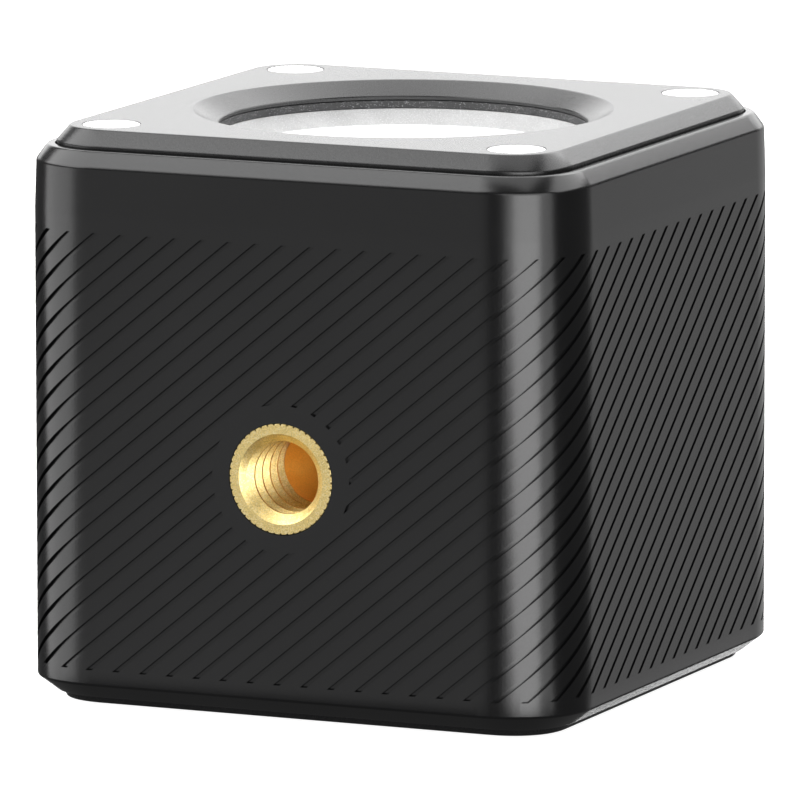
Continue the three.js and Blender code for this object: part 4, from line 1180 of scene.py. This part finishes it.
def addPanel(name, azimuth, elevation, width, height, glow):
    # a soft box at this direction, facing the spotlight
    turn, lift = math.radians(azimuth), math.radians(elevation)
    aim = Vector((0, 0, studio["aimHeight"] * mm))
    toward = Vector((math.sin(turn) * math.cos(lift), -math.cos(turn) * math.cos(lift), math.sin(lift)))
    light = bpy.data.lights.new(name, "AREA")
    light.shape = "RECTANGLE"
    light.size, light.size_y = width, height
    light.energy = glow * math.pi * width * height
    holder = bpy.data.objects.new(name, light)
    bpy.context.scene.collection.objects.link(holder)
    holder.location = aim + toward * studio["distance"]
    holder.rotation_euler = toward.to_track_quat("Z", "Y").to_euler()
    holder.visible_camera = False


def addStudio():
    scene = bpy.context.scene
    scene.view_settings.view_transform = "Standard"
    world = bpy.data.worlds.new("studio")
    world.use_nodes = True
    scene.world = world
    tree = world.node_tree
    background = tree.nodes["Background"]
    seen = addNode(tree, "ShaderNodeLightPath").outputs["Is Camera Ray"]
    strength = remap(tree, seen, 0.0, 1.0, studio["skyLight"], studio["skyShown"])
    tree.links.new(strength, background.inputs["Strength"])
    background.inputs["Color"].default_value = (1, 1, 1, 1)
    for name, panel in studio["panels"].items():
        addPanel(name + "_panel", *panel)

    bm = bmesh.new()
    bmesh.ops.create_grid(bm, x_segments=8, y_segments=8, size=studio["floorHalf"],
                          matrix=Matrix.Translation((0, 0, -studio["floorGap"] * mm)))
    mesh = bpy.data.meshes.new("studio_floor")
    bm.to_mesh(mesh)
    bm.free()
    floor = bpy.data.objects.new("studio_floor", mesh)
    scene.collection.objects.link(floor)
    material = bpy.data.materials.new("paleFloor")
    material.use_nodes = True
    tree = material.node_tree
    shader = tree.nodes["Principled BSDF"]
    shader.inputs["Roughness"].default_value = studio["floorRoughness"]
    shade = studio["floorShade"]
    shader.inputs["Base Color"].default_value = (shade, shade, shade, 1)
    shader.inputs["Emission Color"].default_value = (1, 1, 1, 1)
    shader.inputs["Emission Strength"].default_value = studio["floorGlow"]
    # the floor is clear from below, so that the rear face can be looked at
    below = addNode(tree, "ShaderNodeNewGeometry").outputs["Backfacing"]
    clear = addNode(tree, "ShaderNodeBsdfTransparent").outputs[0]
    either = addNode(tree, "ShaderNodeMixShader", {0: below, 1: shader.outputs[0], 2: clear})
    tree.links.new(either.outputs[0], tree.nodes["Material Output"].inputs["Surface"])
    mesh.materials.append(material)
    # the low panels shine through the floor, so that they show in the upright faces
    floor.visible_diffuse = False
    floor.visible_glossy = False
    floor.visible_transmission = False
    floor.visible_shadow = False


def finishCadNodes():
    for part in frame["record"]["subparts"]:
        mesh = cadNodes[part["node"]].data
        mesh.materials.clear()
        mesh.materials.append(finishes[part["material_slot"]])


for stage in (addCamera, addStudio, buildSleeve, buildBezel, buildMagnets, buildLens, buildDish, buildRings,
              buildCup, buildEmitter, buildScrews, buildInsert, buildButton, buildButtonSeal, buildLightPipe,
              buildDoor, buildSocket, buildHingePin, buildCover, finishCadNodes):
    stage()
    print(f"{stage.__name__}: done")
